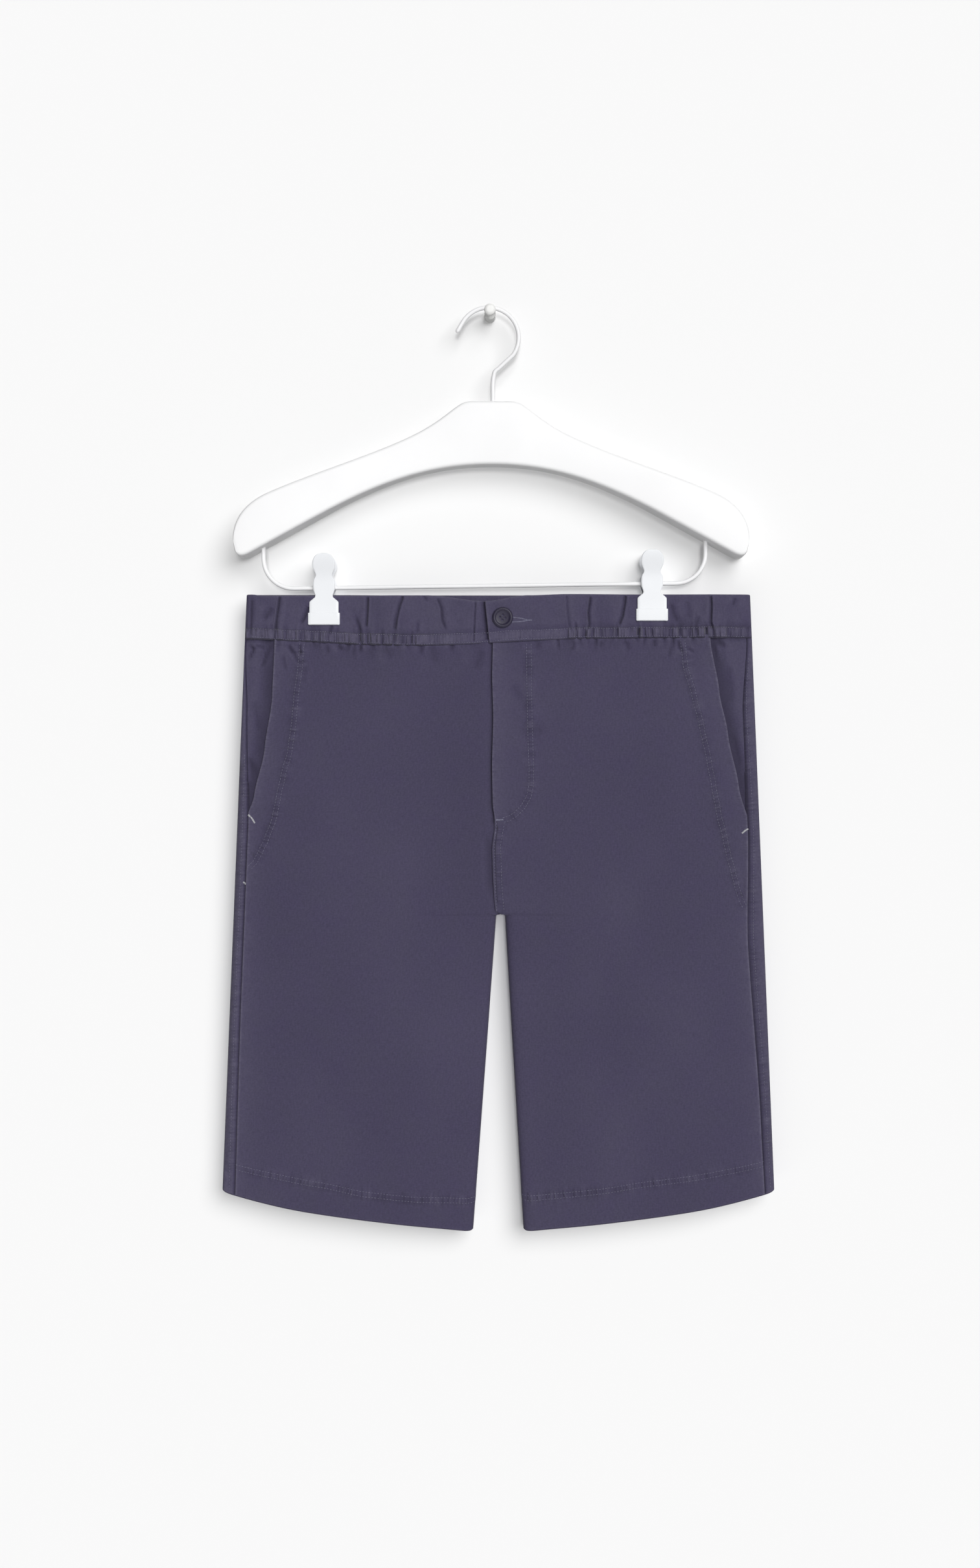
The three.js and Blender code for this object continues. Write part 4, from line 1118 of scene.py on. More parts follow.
def bandLift(part, x, z):
    above = z - waistSeamZ(x)  # height above the band's lower edge
    gather = readTable(gatherTable[part], x)
    seed = {"right": 1, "left": 2, "back": 3}[part]
    fine = cloudNoise(x + 0.9 * cloudNoise(x, z, 9, 4), z * 0.06, 2.3, seed)
    fine = fine + 0.6 * cloudNoise(x, z * 0.1, 5.4, seed + 5)
    broad = cloudNoise(x, z * 0.25, 9.5, seed + 9)
    inStrip = smooth((above - 0.4) / 1.2) * (1 - smooth((above - stripRows["high"] + 0.9) / 1.4))
    fromStrip = np.exp(-np.maximum(above - stripRows["high"], 0) / 8)
    relief = band["fineGather"] * fine * np.maximum(inStrip, 0.45 * fromStrip)
    relief = gather * (relief + band["broadGather"] * broad * fromStrip)
    relief += band["stripRise"] * inStrip + band["aboveStrip"] * smooth((above - stripRows["high"] - 0.5) / 6)
    for height in stripRows.values():
        relief -= band["stitchDip"] * bell(above - height, 0.8)
    relief += creaseRelief(x, z, bandCreases[part])
    swell, grain = cloudNoise(x, z * 0.5, 16, seed + 3), cloudNoise(x, z, 7, seed)
    relief += band["swell"] * gather * swell + band["grain"] * grain
    return relief


def bandTop(part, x):
    if part == "right":
        return -1.1 * smooth((x + 215) / 12) - 5.1 * smooth((x + 62) / 50)
    if part == "left":
        return -6.2 + 5.1 * smooth((x - band["tabEdgeTop"]) / 38) + 1.1 * smooth((x - 26) / 34)
    return 0 * x


def tabEdge(drop):
    return mix(band["tabEdgeTop"], band["tabEdgeFoot"], drop)


def tabRise(toTab):
    return band["tabRise"] * (1 - smooth((toTab - 30) / 30))


def makeBand(part):
    half = shape["waistHalf"]
    drop = np.concatenate([
        [0, 0.006, 0.016, 0.03, 0.05], np.linspace(0.075, 0.965, band["rows"]), [0.982, 0.992, 1]])[:, None]
    reach = {"right": (-half, band["underTabTo"]), "left": (band["tabEdgeTop"], half), "back": (-half, half)}
    start, end = reach[part]
    ends = {"right": ("fold", "edge"), "left": ("edge", "fold"), "back": ("fold", "fold")}[part]
    x = columnsBetween(np.array([start]), np.array([end]), *ends, band["columns"][part])
    x = np.repeat(x, len(drop), 0)
    if part == "left":
        x = x + (tabEdge(drop) - tabEdge(0)) * (1 - smooth((x - start) / 40))
    z = mix(bandTop(part, x), waistSeamZ(x), drop)
    edge = outerEdge(z)
    x = np.clip(x, -edge, edge) + np.sign(x) * (edge - half) * smooth((np.abs(x) - half + 14) / 14)
    x = np.clip(x, -edge, edge)
    toTop, toFoot = bandTop(part, x) - z, z - waistSeamZ(x)
    plain = bandLift(part, x, z)
    lift = plain * smooth((outerEdge(z) - np.abs(x)) / 2.5)
    lift = lift + edgeRound(toTop, 1.0) + 0.7 * edgeRound(toFoot, 0.7)
    wornAndPaintedLight = wornAndPaintedLightBy["bandTop"] * bell(toTop, 1.2) + wornAndPaintedLightBy["bandFoot"] * bell(toFoot, 1.0)
    if part == "left":
        toTab = x - tabEdge(drop)
        lift = lift + edgeRound(toTab, 1.0) + tabRise(toTab)
        wornAndPaintedLight = wornAndPaintedLight + wornAndPaintedLightBy["tab"] * bell(toTab, 1.3)
    if part == "right":
        lift = lift - band["underTab"] * smooth((x + 17) / 6)
        # Painted shade on the band beside the tab's edge, where the tab laps it.
        wornAndPaintedLight = wornAndPaintedLight + wornAndPaintedLightBy["underTab"] * bell(np.maximum(tabEdge(drop) - x, 0), 2.6)
    inner = lift * 0.35 - band["thickness"] - 0.2
    if part == "right":
        inner = np.where(x > -17, lift - 1.5, inner)
    inStrip = smooth(toFoot / 1.2) * (1 - smooth((toFoot - stripRows["high"]) / 1.6))
    drawnUp = readTable(gatherTable[part], x)
    gather = drawnUp * np.maximum(inStrip, 0.35 * np.exp(-np.maximum(toFoot - stripRows["high"], 0) / 4))
    face = 1 if part == "back" else -1
    return finishSheet(
        f"waistband{part.capitalize()}", bagPoints(face, x, z, lift), bagPoints(face, x, z, inner),
        wearAndShadeOf(plain * 0.8 - 0.15, wornAndPaintedLight + wornAndPaintedLightBy["bandStrip"] * inStrip), gather=gather,
        pucker=inStrip * (0.35 + 0.6 * drawnUp), along=0.001 * x)


pieces = {}
for side in ("right", "left"):
    pieces["front", side] = makeFront(side)
    pieces["back", side] = makeBack(side)
    pieces["pocket", side] = makePocket(side)
    pieces["hem", side] = makeHem(side)
    print(side, "leg made")
for part in ("right", "left", "back"):
    pieces["band", part] = makeBand(part)
pieces["underlap"] = makeUnderlap(underlapForm)
print("waistband and fly made")

for side in ("right", "left"):
    registerCloth(pieces["front", side], f"front_{side}")
    registerCloth(pieces["back", side], f"back_{side}")
    registerCloth(pieces["pocket", side], f"pocket_{side}")
    registerCloth(pieces["hem", side], f"hem_{side}")
registerCloth(pieces["band", "right"], "waistband_right")
registerCloth(pieces["band", "left"], "waistband_left")
registerCloth(pieces["band", "back"], "waistband_back")
registerCloth(pieces["underlap"], "fly_underlap")

# Stitches, by Geometry Nodes: a small rounded stitch at every step of each row

stitchKinds = {
    "topStitch": {"pitch": 0.0026, "along": 0.0021, "across": 0.00046, "high": 0.00042},
    "gatherStitch": {"pitch": 0.0022, "along": 0.0016, "across": 0.00052, "high": 0.00046},
    "bartack": {"pitch": 0.00042, "along": 0.00046, "across": 0.0019, "high": 0.0006},
    "buttonhole": {"pitch": 0.0005, "along": 0.00046, "across": 0.0013, "high": 0.0006},
}


def stitchTree():
    tree = bpy.data.node_groups.new("stitchRow", "GeometryNodeTree")
    face = tree.interface
    face.new_socket("Geometry", in_out="INPUT", socket_type="NodeSocketGeometry")
    for name in ("pitch", "along", "across", "high"):
        face.new_socket(name, in_out="INPUT", socket_type="NodeSocketFloat")
    face.new_socket("thread", in_out="INPUT", socket_type="NodeSocketMaterial")
    face.new_socket("Geometry", in_out="OUTPUT", socket_type="NodeSocketGeometry")
    given = tree.nodes.new("NodeGroupInput").outputs
    add = lambda kind, inputs=None, **settings: addNode(tree, kind, inputs, **settings)
    curve = add("GeometryNodeMeshToCurve", {"Mesh": given["Geometry"]})
    spacing = {"Curve": curve.outputs[0], "Length": given["pitch"]}
    steps = add("GeometryNodeResampleCurve", spacing, mode="LENGTH")
    tangent = add("GeometryNodeInputTangent")
    outward = add("GeometryNodeInputNamedAttribute", {"Name": "outward"}, data_type="FLOAT_VECTOR")
    turn = add("FunctionNodeAlignRotationToVector", {"Vector": tangent.outputs[0]}, axis="X")
    vector = next(s for s in outward.outputs if s.enabled and s.type == "VECTOR")
    turned = add("FunctionNodeAlignRotationToVector", {"Rotation": turn.outputs[0], "Vector": vector},
                 axis="Z", pivot_axis="X")
    ball = add("GeometryNodeMeshUVSphere", {"Segments": 6, "Rings": 4, "Radius": 0.5})
    size = add("ShaderNodeCombineXYZ", {"X": given["along"], "Y": given["across"], "Z": given["high"]})
    stitch = add("GeometryNodeTransform", {"Geometry": ball.outputs["Mesh"], "Scale": size.outputs[0]})
    uneven = add("FunctionNodeRandomValue", {"Seed": 11}, data_type="FLOAT_VECTOR")
    vectors = [s for s in uneven.inputs if s.enabled and s.type == "VECTOR"]
    vectors[0].default_value = (0.82, 0.85, 0.8)
    vectors[1].default_value = (1.08, 1.15, 1.15)
    placed = add("GeometryNodeInstanceOnPoints", {
        "Points": steps.outputs[0], "Instance": stitch.outputs[0], "Rotation": turned.outputs[0],
        "Scale": next(s for s in uneven.outputs if s.enabled)})
    whole = add("GeometryNodeRealizeInstances", {"Geometry": placed.outputs[0]})
    painted = add("GeometryNodeSetMaterial", {"Geometry": whole.outputs[0], "Material": given["thread"]})
    add("NodeGroupOutput", {"Geometry": painted.outputs[0]})
    return tree


rowTree = stitchTree()


# rows: (face, path in x and z, lift function). The points lie on the cloth, and know which way is out.
def stitchRows(name, rows, kind, thread, rise=0.12):
    points, outward, edges = [], [], []
    for face, path, liftAt in rows:
        dense = []
        for a, b in zip(path, path[1:]):
            parts = max(1, int(math.dist(a, b) / 1.3))
            dense += [(mix(a[0], b[0], k / parts), mix(a[1], b[1], k / parts)) for k in range(parts)]
        dense.append(path[-1])
        x, z = np.array(dense).T
        lift = liftAt(x, z) + rise
        on, above = bagPoints(face, x, z, lift), bagPoints(face, x, z, lift + 1)
        start = len(points)
        points += (on * 0.001 + garmentOrigin).tolist()
        outward += (above - on).tolist()
        edges += [(start + k, start + k + 1) for k in range(len(dense) - 1)]
    mesh = bpy.data.meshes.new(name + "Rows")
    mesh.from_pydata(points, edges, [])
    mark = mesh.attributes.new("outward", "FLOAT_VECTOR", "POINT")
    mark.data.foreach_set("vector", np.array(outward, np.float32).ravel())
    guide = addPiece(name + "Rows", mesh)
    modifier = guide.modifiers.new("stitches", "NODES")
    modifier.node_group = rowTree
    ids = {item.name: item.identifier for item in rowTree.interface.items_tree if item.in_out == "INPUT"}
    for key, value in stitchKinds[kind].items():
        modifier[ids[key]] = value
    modifier[ids["thread"]] = thread
    guide.update_tag()
    result = guide.evaluated_get(bpy.context.evaluated_depsgraph_get())
    made = bpy.data.meshes.new_from_object(result)
    made.name = name
    made.shade_smooth()
    bpy.data.objects.remove(guide)
    register(addPiece(name, made), "thread")
    print(name, len(made.polygons), "faces")


def frontRows():
    rows = []
    for side in ("right", "left"):
        lift = lambda x, z, side=side: frontLift(side, x, z)
        rows += [(-1, path, lift) for path in frontStitches[side]]
        strip = lambda x, z, side=side: backLift(side, -1, x, z)
        rows += [(-1, path, strip) for path in sideStitches[side]]
        back = lambda x, z, side=side: backLift(side, 1, x, z)
        rows += [(1, path, back) for path in backStitches[side]]
    return rows


def tabLift(x, z):
    drop = (bandTop("left", x) - z) / np.maximum(bandTop("left", x) - waistSeamZ(x), 1)
    return bandLift("left", x, z) + tabRise(x - tabEdge(drop))


def bandRows():
    rows = []
    spans = {"right": (-213.0, -9.5), "left": (-6.8, 213.0), "back": (-213.0, 213.0)}
    for part, (fromX, toX) in spans.items():
        face = 1 if part == "back" else -1
        lift = tabLift if part == "left" else lambda x, z, part=part: bandLift(part, x, z)
        for height in stripRows.values():
            def uneven(x, height=height):
                return waistSeamZ(x) + height + 0.35 * math.sin(x / 9) + 0.2 * math.sin(x / 3.1)
            rows.append((face, alongX(fromX, toX, uneven, 2.0), lift))
    return rows


stitchRows("topStitches", frontRows(), "topStitch", seamThread)
stitchRows("waistbandStitches", bandRows(), "gatherStitch", seamThread)
rightFront = lambda x, z: frontLift("right", x, z)
leftFront = lambda x, z: frontLift("left", x, z)
stitchRows("pocketBartacks", [
    (-1, [(-216.8, -191.5), (-214, -194), (-211.2, -198.5)], rightFront),
    (-1, [(-221.2, -249.8), (-219.2, -251.3)], rightFront),
    (-1, [(216.4, -203.6), (213.6, -205.2), (211.2, -207.4)], leftFront),
], "bartack", bartackThread, 0.25)
stitchRows("flyBartack", [(-1, [(-2.2, -195.8), (3.9, -195.6)], leftFront)], "bartack", buttonholeThread, 0.2)
stitchRows("buttonholeStitches", [
    (-1, [(12.0, -20.4), (20, -21.4), (24.5, -22.6)], tabLift),
    (-1, [(12.0, -24.6), (20, -24.1), (24.5, -23.2)], tabLift),
    (-1, [(24.0, -22.9), (29.0, -22.9)], tabLift),
], "buttonhole", buttonholeThread, 0.15)

# Turned pieces: the button and the peg


def faceOutwards(piece):
    work = bmesh.new()
    work.from_mesh(piece.data)
    bmesh.ops.remove_doubles(work, verts=work.verts, dist=1e-6)
    bmesh.ops.recalc_face_normals(work, faces=work.faces)
    work.to_mesh(piece.data)
    work.free()
    piece.data.shade_smooth()
    piece.data.set_sharp_from_angle(angle=math.radians(42))


# Rings of points skinned into a closed piece. The end rings are capped, or joined to each other.
def skinnedPiece(name, rings, material, joined=False):
    rings = np.asarray(rings, float)
    count, around = rings.shape[:2]
    r, k = np.meshgrid(np.arange(count if joined else count - 1), np.arange(around), indexing="ij")
    here, beside = r * around + k, r * around + (k + 1) % around
    nextRing = (r + 1) % count * around
    faces = np.stack([here, beside, nextRing + (k + 1) % around, nextRing + k], -1).reshape(-1, 4).tolist()
    if not joined:
        faces += [list(range(around))[::-1], list(range((count - 1) * around, count * around))]
    mesh = bpy.data.meshes.new(name)
    mesh.from_pydata(rings.reshape(-1, 3).tolist(), [], faces)
    piece = addPiece(name, mesh, material)
    faceOutwards(piece)
    return piece


def turnedPiece(name, profile, centre, steps, material):
    angles = np.arange(steps) * 2 * math.pi / steps
    rings = [np.stack([radius * np.cos(angles), -out + 0 * angles, radius * np.sin(angles)], 1) + centre
             for radius, out in profile]
    return skinnedPiece(name, rings, material)


def roundProfile(corners, radius=0.0003, steps=4):
    out = []
    for i, corner in enumerate(corners):
        here = Vector(corner)
        if i in (0, len(corners) - 1):
            out.append(tuple(here))
            continue
        before, after = Vector(corners[i - 1]) - here, Vector(corners[i + 1]) - here
        cut = min(radius, before.length * 0.45, after.length * 0.45)
        start, end = here + before.normalized() * cut, here + after.normalized() * cut
        for k in range(steps + 1):
            t = k / steps
            out.append(tuple(start.lerp(here, t).lerp(here.lerp(end, t), t)))
    return out


# Turns a piece's modifiers into plain mesh.
def settleMesh(piece):
    result = piece.evaluated_get(bpy.context.evaluated_depsgraph_get())
    mesh = bpy.data.meshes.new_from_object(result)
    piece.modifiers.clear()
    piece.data = mesh
    mesh.shade_smooth()
    mesh.set_sharp_from_angle(angle=math.radians(38))


buttonSize = {  # metres, and degrees that the button is turned by
    "holeRadius": 0.0011, "holeAt": 0.0022, "tilt": 36, "rim": 0.0011, "rimTop": 0.0011, "dish": 0.0034,
    "soften": 0.0007, "drillBeyond": 0.001,
}


def makeButton(size):
    low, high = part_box("button")
    centre = ((low[0] + high[0]) / 2, high[1], (low[2] + high[2]) / 2)
    radius, thick = (high[0] - low[0]) / 2, high[1] - low[1]
    profile = roundProfile([
        (0.0002, 0), (radius * 0.8, 0), (radius, thick * 0.42), (radius, thick * 0.66),
        (radius - size["rim"], thick), (radius - size["rim"] - size["rimTop"], thick),
        (radius - size["dish"], thick * 0.66), (radius * 0.28, thick * 0.6), (0.0002, thick * 0.6)], size["soften"])
    piece = turnedPiece("fourHoleButton", profile, centre, 72, navyPlastic)
    drills = []
    for k in range(4):
        angle = math.radians(45 + size["tilt"] + 90 * k)
        aside, up = size["holeAt"] * math.cos(angle), size["holeAt"] * math.sin(angle)
        at = (centre[0] + aside, centre[1] + size["drillBeyond"], centre[2] + up)
        depth = thick + 3 * size["drillBeyond"]
        bore = [(size["holeRadius"], 0), (size["holeRadius"], depth)]
        drill = turnedPiece(f"drill{k}", bore, at, 20, navyPlastic)
        modifier = piece.modifiers.new(f"hole{k}", "BOOLEAN")
        modifier.operation = "DIFFERENCE"
        modifier.object = drill
        modifier.solver = "EXACT"
        drills.append(drill)
    settleMesh(piece)
    for drill in drills:
        bpy.data.objects.remove(drill)
    register(piece, "button_plastic", "button")


def makePeg():
    low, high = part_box("wall_peg")
    length, radius = high[1] - low[1], (high[0] - low[0]) / 2
    neck = radius * 0.32
    profile = roundProfile([
        (0.0002, 0), (radius, 0), (radius, length * 0.43), (neck, length * 0.45), (neck, length * 0.78),
        (radius, length * 0.80), (radius, length * 0.94), (radius * 0.6, length), (0.0002, length)], 0.0009)
    piece = turnedPiece("wallPeg", profile, (0, high[1], 0), 56, pegPaint)
    settleMesh(piece)
    register(piece, "peg_paint", "wall_peg")


makeButton(buttonSize)
makePeg()
shank = bpy.data.objects["button_thread"]
for shankSlot in shank.material_slots:
    shankSlot.material = seamThread
print("button and peg made")

# Hanger

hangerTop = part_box("hanger_body")[1][2]
wireY = (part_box("hanger_bar")[0][1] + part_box("hanger_bar")[1][1]) / 2
hangerX = (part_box("hanger_body")[0][0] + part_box("hanger_body")[1][0]) / 2

hangerCurves = {  # millimetres from the middle of the top; each row is a start, two handles and an end
    "upper": [((0, 0), (6, 0), (12, 0), (18, 0)), ((18, 0), (30, -0.7), (34, -11.2), (62, -26.7)),
              ((62, -26.7), (96, -44.7), (150, -61.2), (190, -78.7)),
              ((190, -78.7), (212, -87.7), (226, -103.2), (222.5, -127.2))],
    "lower": [((0, -55), (52, -55), (92, -69.2), (140, -94.7)),
              ((140, -94.7), (163, -107.3), (187, -120.4), (208, -132)),
              ((208, -132), (213.5, -135.2), (220.8, -137.6), (222.5, -127.2))],
}
hangerSize = {"thick": 20.0, "shoulderThick": 30.0, "edgeRadius": 3.4, "stations": 110}


def bezierLine(rows, count):
    points = []
    for a, b, c, d in rows:
        a, b, c, d = map(np.array, (a, b, c, d))
        t = np.linspace(0, 1, 60)[:, None]
        points.append((1 - t) ** 3 * a + 3 * (1 - t) ** 2 * t * b + 3 * (1 - t) * t ** 2 * c + t ** 3 * d)
    line = np.concatenate(points)
    steps = np.concatenate([[0], np.cumsum(np.linalg.norm(np.diff(line, axis=0), axis=1))])
    even = np.linspace(0, steps[-1], count)
    return np.stack([np.interp(even, steps, line[:, k]) for k in (0, 1)], 1)


# The hanger is a row of rounded sections, each from its upper edge to its lower one.
def makeHangerBody(size):
    half = size["stations"]
    upper, lower = bezierLine(hangerCurves["upper"], half), bezierLine(hangerCurves["lower"], half)
    mirror = lambda line: np.concatenate([(line * (-1, 1))[::-1], line[1:]])
    upper, lower = mirror(upper), mirror(lower)
    sections = []
    for top, foot in zip(upper, lower):
        span = np.linalg.norm(top - foot)
        middleX = abs(top[0] + foot[0]) / 2
        thick = size["thick"] * mix(1, size["shoulderThick"] / size["thick"], smooth((middleX - 40) / 150))
        radius = min(size["edgeRadius"], span * 0.48)
        halfThick = thick / 2 * min(1, 0.35 + span / 22)
        down = (foot - top) / max(span, 1e-6)
        ring = []
        rounds = (radius, -1, 180), (span - radius, -1, 90), (span - radius, 1, 0), (radius, 1, -90)
        for cornerT, cornerY, first in rounds:
            for k in range(6):
                angle = math.radians(first - 18 * k)
                along = cornerT + radius * math.cos(angle)
                ring.append((along, cornerY * (halfThick - radius) - radius * math.sin(angle)))
        sections.append([(top[0] + down[0] * a, y, top[1] + down[1] * a) for a, y in ring])
    rings = np.array(sections) * 0.001 + (hangerX, wireY, hangerTop)
    register(skinnedPiece("hangerBody", rings, paintedWood), "white_paint", "hanger_body")


wireSize = {"radius": 0.0019, "around": 20}


def makeWire(name, path, node, slotName):
    path = [np.array(p, float) for p in path]
    line = [path[0]]
    for k in range(len(path) - 1):
        p0, p1, p2 = path[max(k - 1, 0)], path[k], path[k + 1]
        p3 = path[min(k + 2, len(path) - 1)]
        parts = max(2, int(np.linalg.norm(p2 - p1) / 0.0022))
        for j in range(1, parts + 1):
            t = j / parts
            line.append(0.5 * (2 * p1 + (p2 - p0) * t + (2 * p0 - 5 * p1 + 4 * p2 - p3) * t ** 2
                               + (3 * p1 - p0 - 3 * p2 + p3) * t ** 3))
    line = np.array(line)
    tangents = np.gradient(line, axis=0)
    tangents /= np.linalg.norm(tangents, axis=1)[:, None]
    side, radius = np.array([0.0, 1.0, 0.0]), wireSize["radius"]
    angles = np.arange(wireSize["around"])[:, None] * 2 * math.pi / wireSize["around"]
    startCap, endCap = [(0, -0.9, 0.45), (0, -0.45, 0.85)], [(-1, 0.45, 0.85), (-1, 0.9, 0.45)]
    rings = []
    for i, push, scale in startCap + [(i, 0.0, 1.0) for i in range(len(line))] + endCap:
        up = np.cross(tangents[i], side)
        centre = line[i] + tangents[i] * push * radius
        rings.append(centre + scale * radius * (side * np.cos(angles) + up * np.sin(angles)))
    register(skinnedPiece(name, rings, coatedSteel), slotName, node)


hookShape = {
    "x": -0.0012, "bendRadius": 0.0262, "footAngle": -35, "tipAngle": 150, "tipLength": 0.0085,
    "elbow": (0.004, -0.0525), "shankX": 0.0025,
}


def hookPath(hook):
    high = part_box("hanger_hook")[1][2]
    centreZ = high - wireSize["radius"] - hook["bendRadius"]
    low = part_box("hanger_hook")[0][2] + 0.001
    path = [(hook["shankX"], wireY, z) for z in (low, -0.09, -0.079, -0.070, -0.062)]
    elbow = np.array((hook["elbow"][0], wireY, hook["elbow"][1]))
    angle = math.radians(hook["footAngle"])
    foot = np.array((hook["x"] + hook["bendRadius"] * math.cos(angle), wireY,
                     centreZ + hook["bendRadius"] * math.sin(angle)))
    path += [tuple(mix(elbow, foot, t)) for t in (0, 0.2, 0.4, 0.6, 0.78, 0.9)]
    for degrees in np.linspace(hook["footAngle"], hook["tipAngle"], 24):
        angle = math.radians(degrees)
        path.append((hook["x"] + hook["bendRadius"] * math.cos(angle), wireY,
                     centreZ + hook["bendRadius"] * math.sin(angle)))
    angle = math.radians(hook["tipAngle"] + 90)
    end = path[-1]
    length = hook["tipLength"]
    path.append((end[0] + length * math.cos(angle), wireY, end[2] + length * math.sin(angle)))
    return path


barShape = {"bend": 0.026, "right": (-0.197, -0.2408), "left": (0.1875, -0.2363)}


def barPath(bar):
    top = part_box("hanger_bar")[1][2] - 0.0005
    def corner(end, sign):
        bend = bar["bend"]
        straight = [(end[0], wireY, top), (end[0], wireY, top - 0.008)]
        return straight + [(end[0] - sign * bend * (1 - math.cos(a)), wireY, end[1] + bend * (1 - math.sin(a)))
                           for a in np.linspace(0, math.pi / 2, 9)]
    rightEnd, leftEnd = corner(bar["right"], -1), corner(bar["left"], 1)
    start, end = np.array(rightEnd[-1]), np.array(leftEnd[-1])
    across = [tuple(mix(start, end, t)) for t in np.linspace(0.03, 0.97, 8)]
    return rightEnd + across + leftEnd[::-1]


makeHangerBody(hangerSize)
makeWire("hangerHook", hookPath(hookShape), "hanger_hook", "white_metal")
makeWire("hangerBar", barPath(barShape), "hanger_bar", "white_metal")
print("hanger made")

# Clips

clipRows = [  # height from the bar and half the width, in millimetres, from the finger head to the jaw
    (28.2, 2.0), (27.7, 4.4), (26.4, 6.6), (24.4, 8.4), (21.8, 9.5), (18.8, 10), (15.8, 9.6), (13.2, 8.5),
    (11.2, 7.5), (9.8, 7.2), (8.2, 7.6), (6.4, 8.8), (4, 9.4), (0, 9.5), (-3, 9.3), (-5.5, 8.4), (-7.6, 7.6),
    (-9.2, 7.8),
    (-11.4, 10.4), (-13.2, 12.4), (-14.4, 12.6), (-22.8, 12.6), (-23.0, 13.7), (-32.6, 13.7), (-33.3, 13.2)]
clipLook = {"plate": 1.5, "edge": 0.55, "jawRaise": 0.5}


# One plate of a clip, following its CAD solid: along the band at the jaw, leaning out at the finger head.
def makeClipPlate(side, where):
    node = f"clip_{side}_{where}"
    low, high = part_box(node)
    barZ = high[2] - 0.0282
    centreX = (low[0] + high[0]) / 2
    face = -1 if where == "front" else 1
    reach = (wireY - low[1]) if face < 0 else (high[1] - wireY)
    lean = reach * 1000 - clipLook["plate"] - 4.8
    rows, widths = [], (-1, -0.93, -0.8, -0.5, 0, 0.5, 0.8, 0.93, 1)
    for depthPart in (1, 0):
        layer = []
        for height, half in clipRows:
            out = 4.8 + lean * float(smooth((height - 4) / 24)) + depthPart * clipLook["plate"]
            raised = clipLook["jawRaise"] * float(smooth((-22.6 - height) / 0.5)) * depthPart
            line = []
            for w in widths:
                atEdge = 1 if abs(w) == 1 or height in (clipRows[0][0], clipRows[-1][0]) else 0
                rounded = clipLook["edge"] * atEdge * depthPart
                y = wireY + face * (out + raised - rounded) * 0.001
                line.append((centreX + w * half * 0.001, y, barZ + height * 0.001))
            layer.append(line)
        rows.append(layer)
    plate = np.array(rows)
    mesh = bpy.data.meshes.new(node)
    mesh.from_pydata(plate.reshape(-1, 3).tolist(), [], shellFaces(*plate.shape[1:3]).tolist())
    piece = addPiece(f"clip{side.capitalize()}{where.capitalize()}", mesh, clipPlastic)
    faceOutwards(piece)
    bevel = piece.modifiers.new("edges", "BEVEL")
    bevel.width = 0.00028
    bevel.segments = 2
    bevel.limit_method = "ANGLE"
    bevel.angle_limit = math.radians(40)
    settleMesh(piece)
    register(piece, "white_metal", node)


# The spring barrel, with the turns of its spring round the bar.
def makeClipBarrel(side):
    node = f"clip_{side}_barrel"
    low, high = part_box(node)
    centre = [(low[k] + high[k]) / 2 for k in range(3)]
    halfLength, radius = (high[0] - low[0]) / 2, (high[2] - low[2]) / 2 - 0.0003
    inner, turns, around = wireSize["radius"] + 0.0006, 10, 40
    profile = []
    for k in range(turns * 6 + 1):
        x = mix(-halfLength, halfLength, k / (turns * 6))
        profile.append((x, radius - 0.0007 * (1 - abs(math.sin(math.pi * k / 6)))))
    profile += [(halfLength, inner), (-halfLength, inner)]
    slope = (barShape["left"][1] - barShape["right"][1]) / (barShape["left"][0] - barShape["right"][0])
    angles = np.arange(around) * 2 * math.pi / around
    rings = [np.stack([x + 0 * angles, r * np.cos(angles), slope * x + r * np.sin(angles)], 1)
             + (centre[0], wireY, centre[2]) for x, r in profile]
    piece = skinnedPiece(f"clip{side.capitalize()}Barrel", rings, coatedSteel, joined=True)
    register(piece, "white_metal", node)


for side in ("right", "left"):
    makeClipPlate(side, "front")
    makeClipPlate(side, "back")
    makeClipBarrel(side)
print("clips made")

# The wall and floor behind, and the light

stageLook = {"colour": 0.90, "floorDrop": 0.82, "bend": 0.4, "halfWidth": 9.0, "reach": 9.0, "top": 5.0}


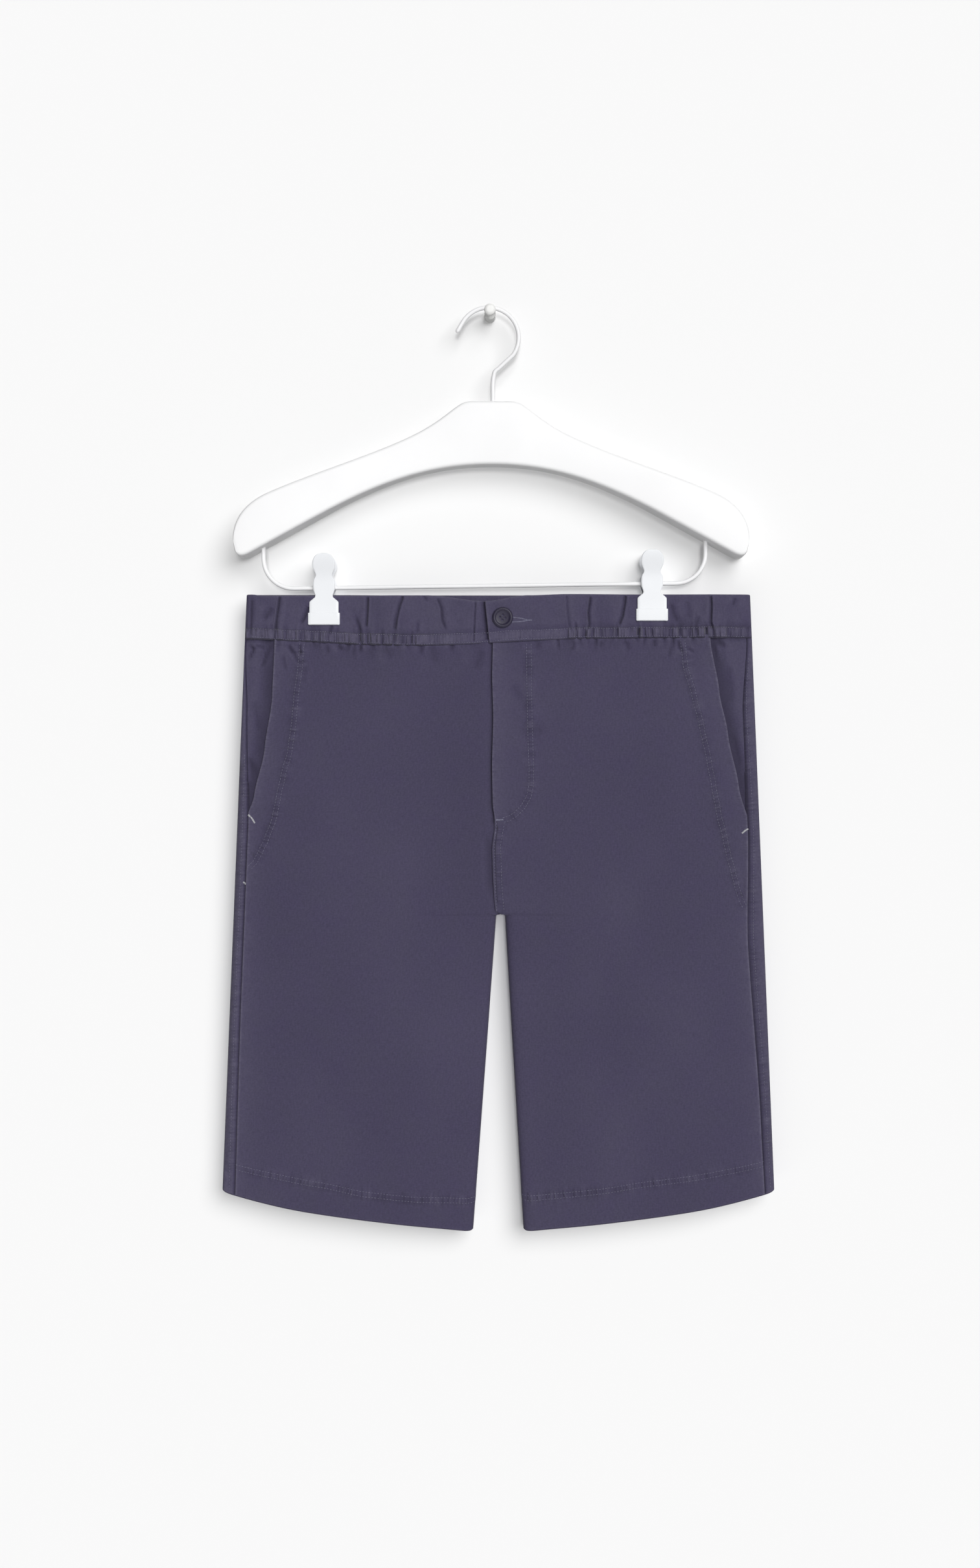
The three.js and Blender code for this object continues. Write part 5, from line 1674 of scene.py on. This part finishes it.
def makeStage(look):
    material = bpy.data.materials.new("paleWall")
    material.use_nodes = True
    tree = material.node_tree
    tree.nodes.clear()
    out = tree.nodes.new("ShaderNodeOutputMaterial")
    diffuse = addNode(tree, "ShaderNodeBsdfDiffuse", {"Color": (look["colour"],) * 3 + (1,)})
    clear = tree.nodes.new("ShaderNodeBsdfTransparent")
    behind = addNode(tree, "ShaderNodeNewGeometry").outputs["Backfacing"]
    either = addNode(tree, "ShaderNodeMixShader", {0: behind, 1: diffuse.outputs[0], 2: clear.outputs[0]})
    tree.links.new(either.outputs[0], out.inputs["Surface"])
    wallY = cadBox[1][1] + 0.0004
    floorZ = cadBox[0][2] - look["floorDrop"]
    profile = [(wallY, look["top"])]
    for k in range(13):
        angle = math.pi / 2 * k / 12
        bend = look["bend"]
        profile.append((wallY - bend * (1 - math.cos(angle)), floorZ + bend * (1 - math.sin(angle))))
    profile.append((wallY - look["reach"], floorZ))
    width = look["halfWidth"]
    points = [(x, y, z) for y, z in profile for x in (-width, width)]
    faces = [(2 * k, 2 * k + 1, 2 * k + 3, 2 * k + 2) for k in range(len(profile) - 1)]
    behindY = wallY + look["reach"]  # more floor, seen only from behind the wall
    points += [(-width, behindY, floorZ), (width, behindY, floorZ), (-width, wallY - 0.4, floorZ - 0.001),
               (width, wallY - 0.4, floorZ - 0.001)]
    last = len(points)
    faces.append((last - 4, last - 3, last - 1, last - 2))
    mesh = bpy.data.meshes.new("wallAndFloor")
    mesh.from_pydata(points, [], faces)
    if mesh.polygons[0].normal.y > 0:
        mesh.flip_normals()
    mesh.shade_smooth()
    wall = addPiece("wallAndFloor", mesh, material)
    wall.visible_shadow = False
    wall.visible_diffuse = False  # keeps the light even all over the wall


lightPlan = [  # name, towards the light, strength, and the spread of its angle in degrees
    {"name": "softKey", "towards": (0.47, -1, 0.47), "strength": 2.05, "spread": 46},
    {"name": "frontFill", "towards": (0.04, -1, 0.05), "strength": 1.03, "spread": 12},
    {"name": "floorBounce", "towards": (-0.3, -0.55, -1), "strength": 0.85, "spread": 90},
    {"name": "backFill", "towards": (0.3, 1, 0.5), "strength": 2.4, "spread": 60},
]


def makeLights(plan):
    for row in plan:
        data = bpy.data.lights.new(row["name"], "SUN")
        data.energy = row["strength"]
        data.angle = math.radians(row["spread"])
        light = bpy.data.objects.new(row["name"], data)
        light.visible_glossy = row["name"] != "frontFill"  # no glare straight back at the camera
        light.rotation_euler = Vector(row["towards"]).to_track_quat("Z", "Y").to_euler()
        bpy.context.scene.collection.objects.link(light)
    world = bpy.data.worlds.new("paleRoom")
    bpy.context.scene.world = world
    world.use_nodes = True
    tree = world.node_tree
    tree.nodes.clear()
    out = tree.nodes.new("ShaderNodeOutputWorld")
    seen = addNode(tree, "ShaderNodeBackground", {"Color": (0.94, 0.94, 0.94, 1), "Strength": 1.0})
    glow = addNode(tree, "ShaderNodeBackground", {"Color": (1, 1, 1, 1), "Strength": 0.052})
    ray = addNode(tree, "ShaderNodeLightPath").outputs["Is Camera Ray"]
    either = addNode(tree, "ShaderNodeMixShader", {0: ray, 1: glow.outputs[0], 2: seen.outputs[0]})
    tree.links.new(either.outputs[0], out.inputs["Surface"])


makeStage(stageLook)
makeLights(lightPlan)
bpy.context.scene.view_settings.view_transform = "Standard"
print("stage and lights made")
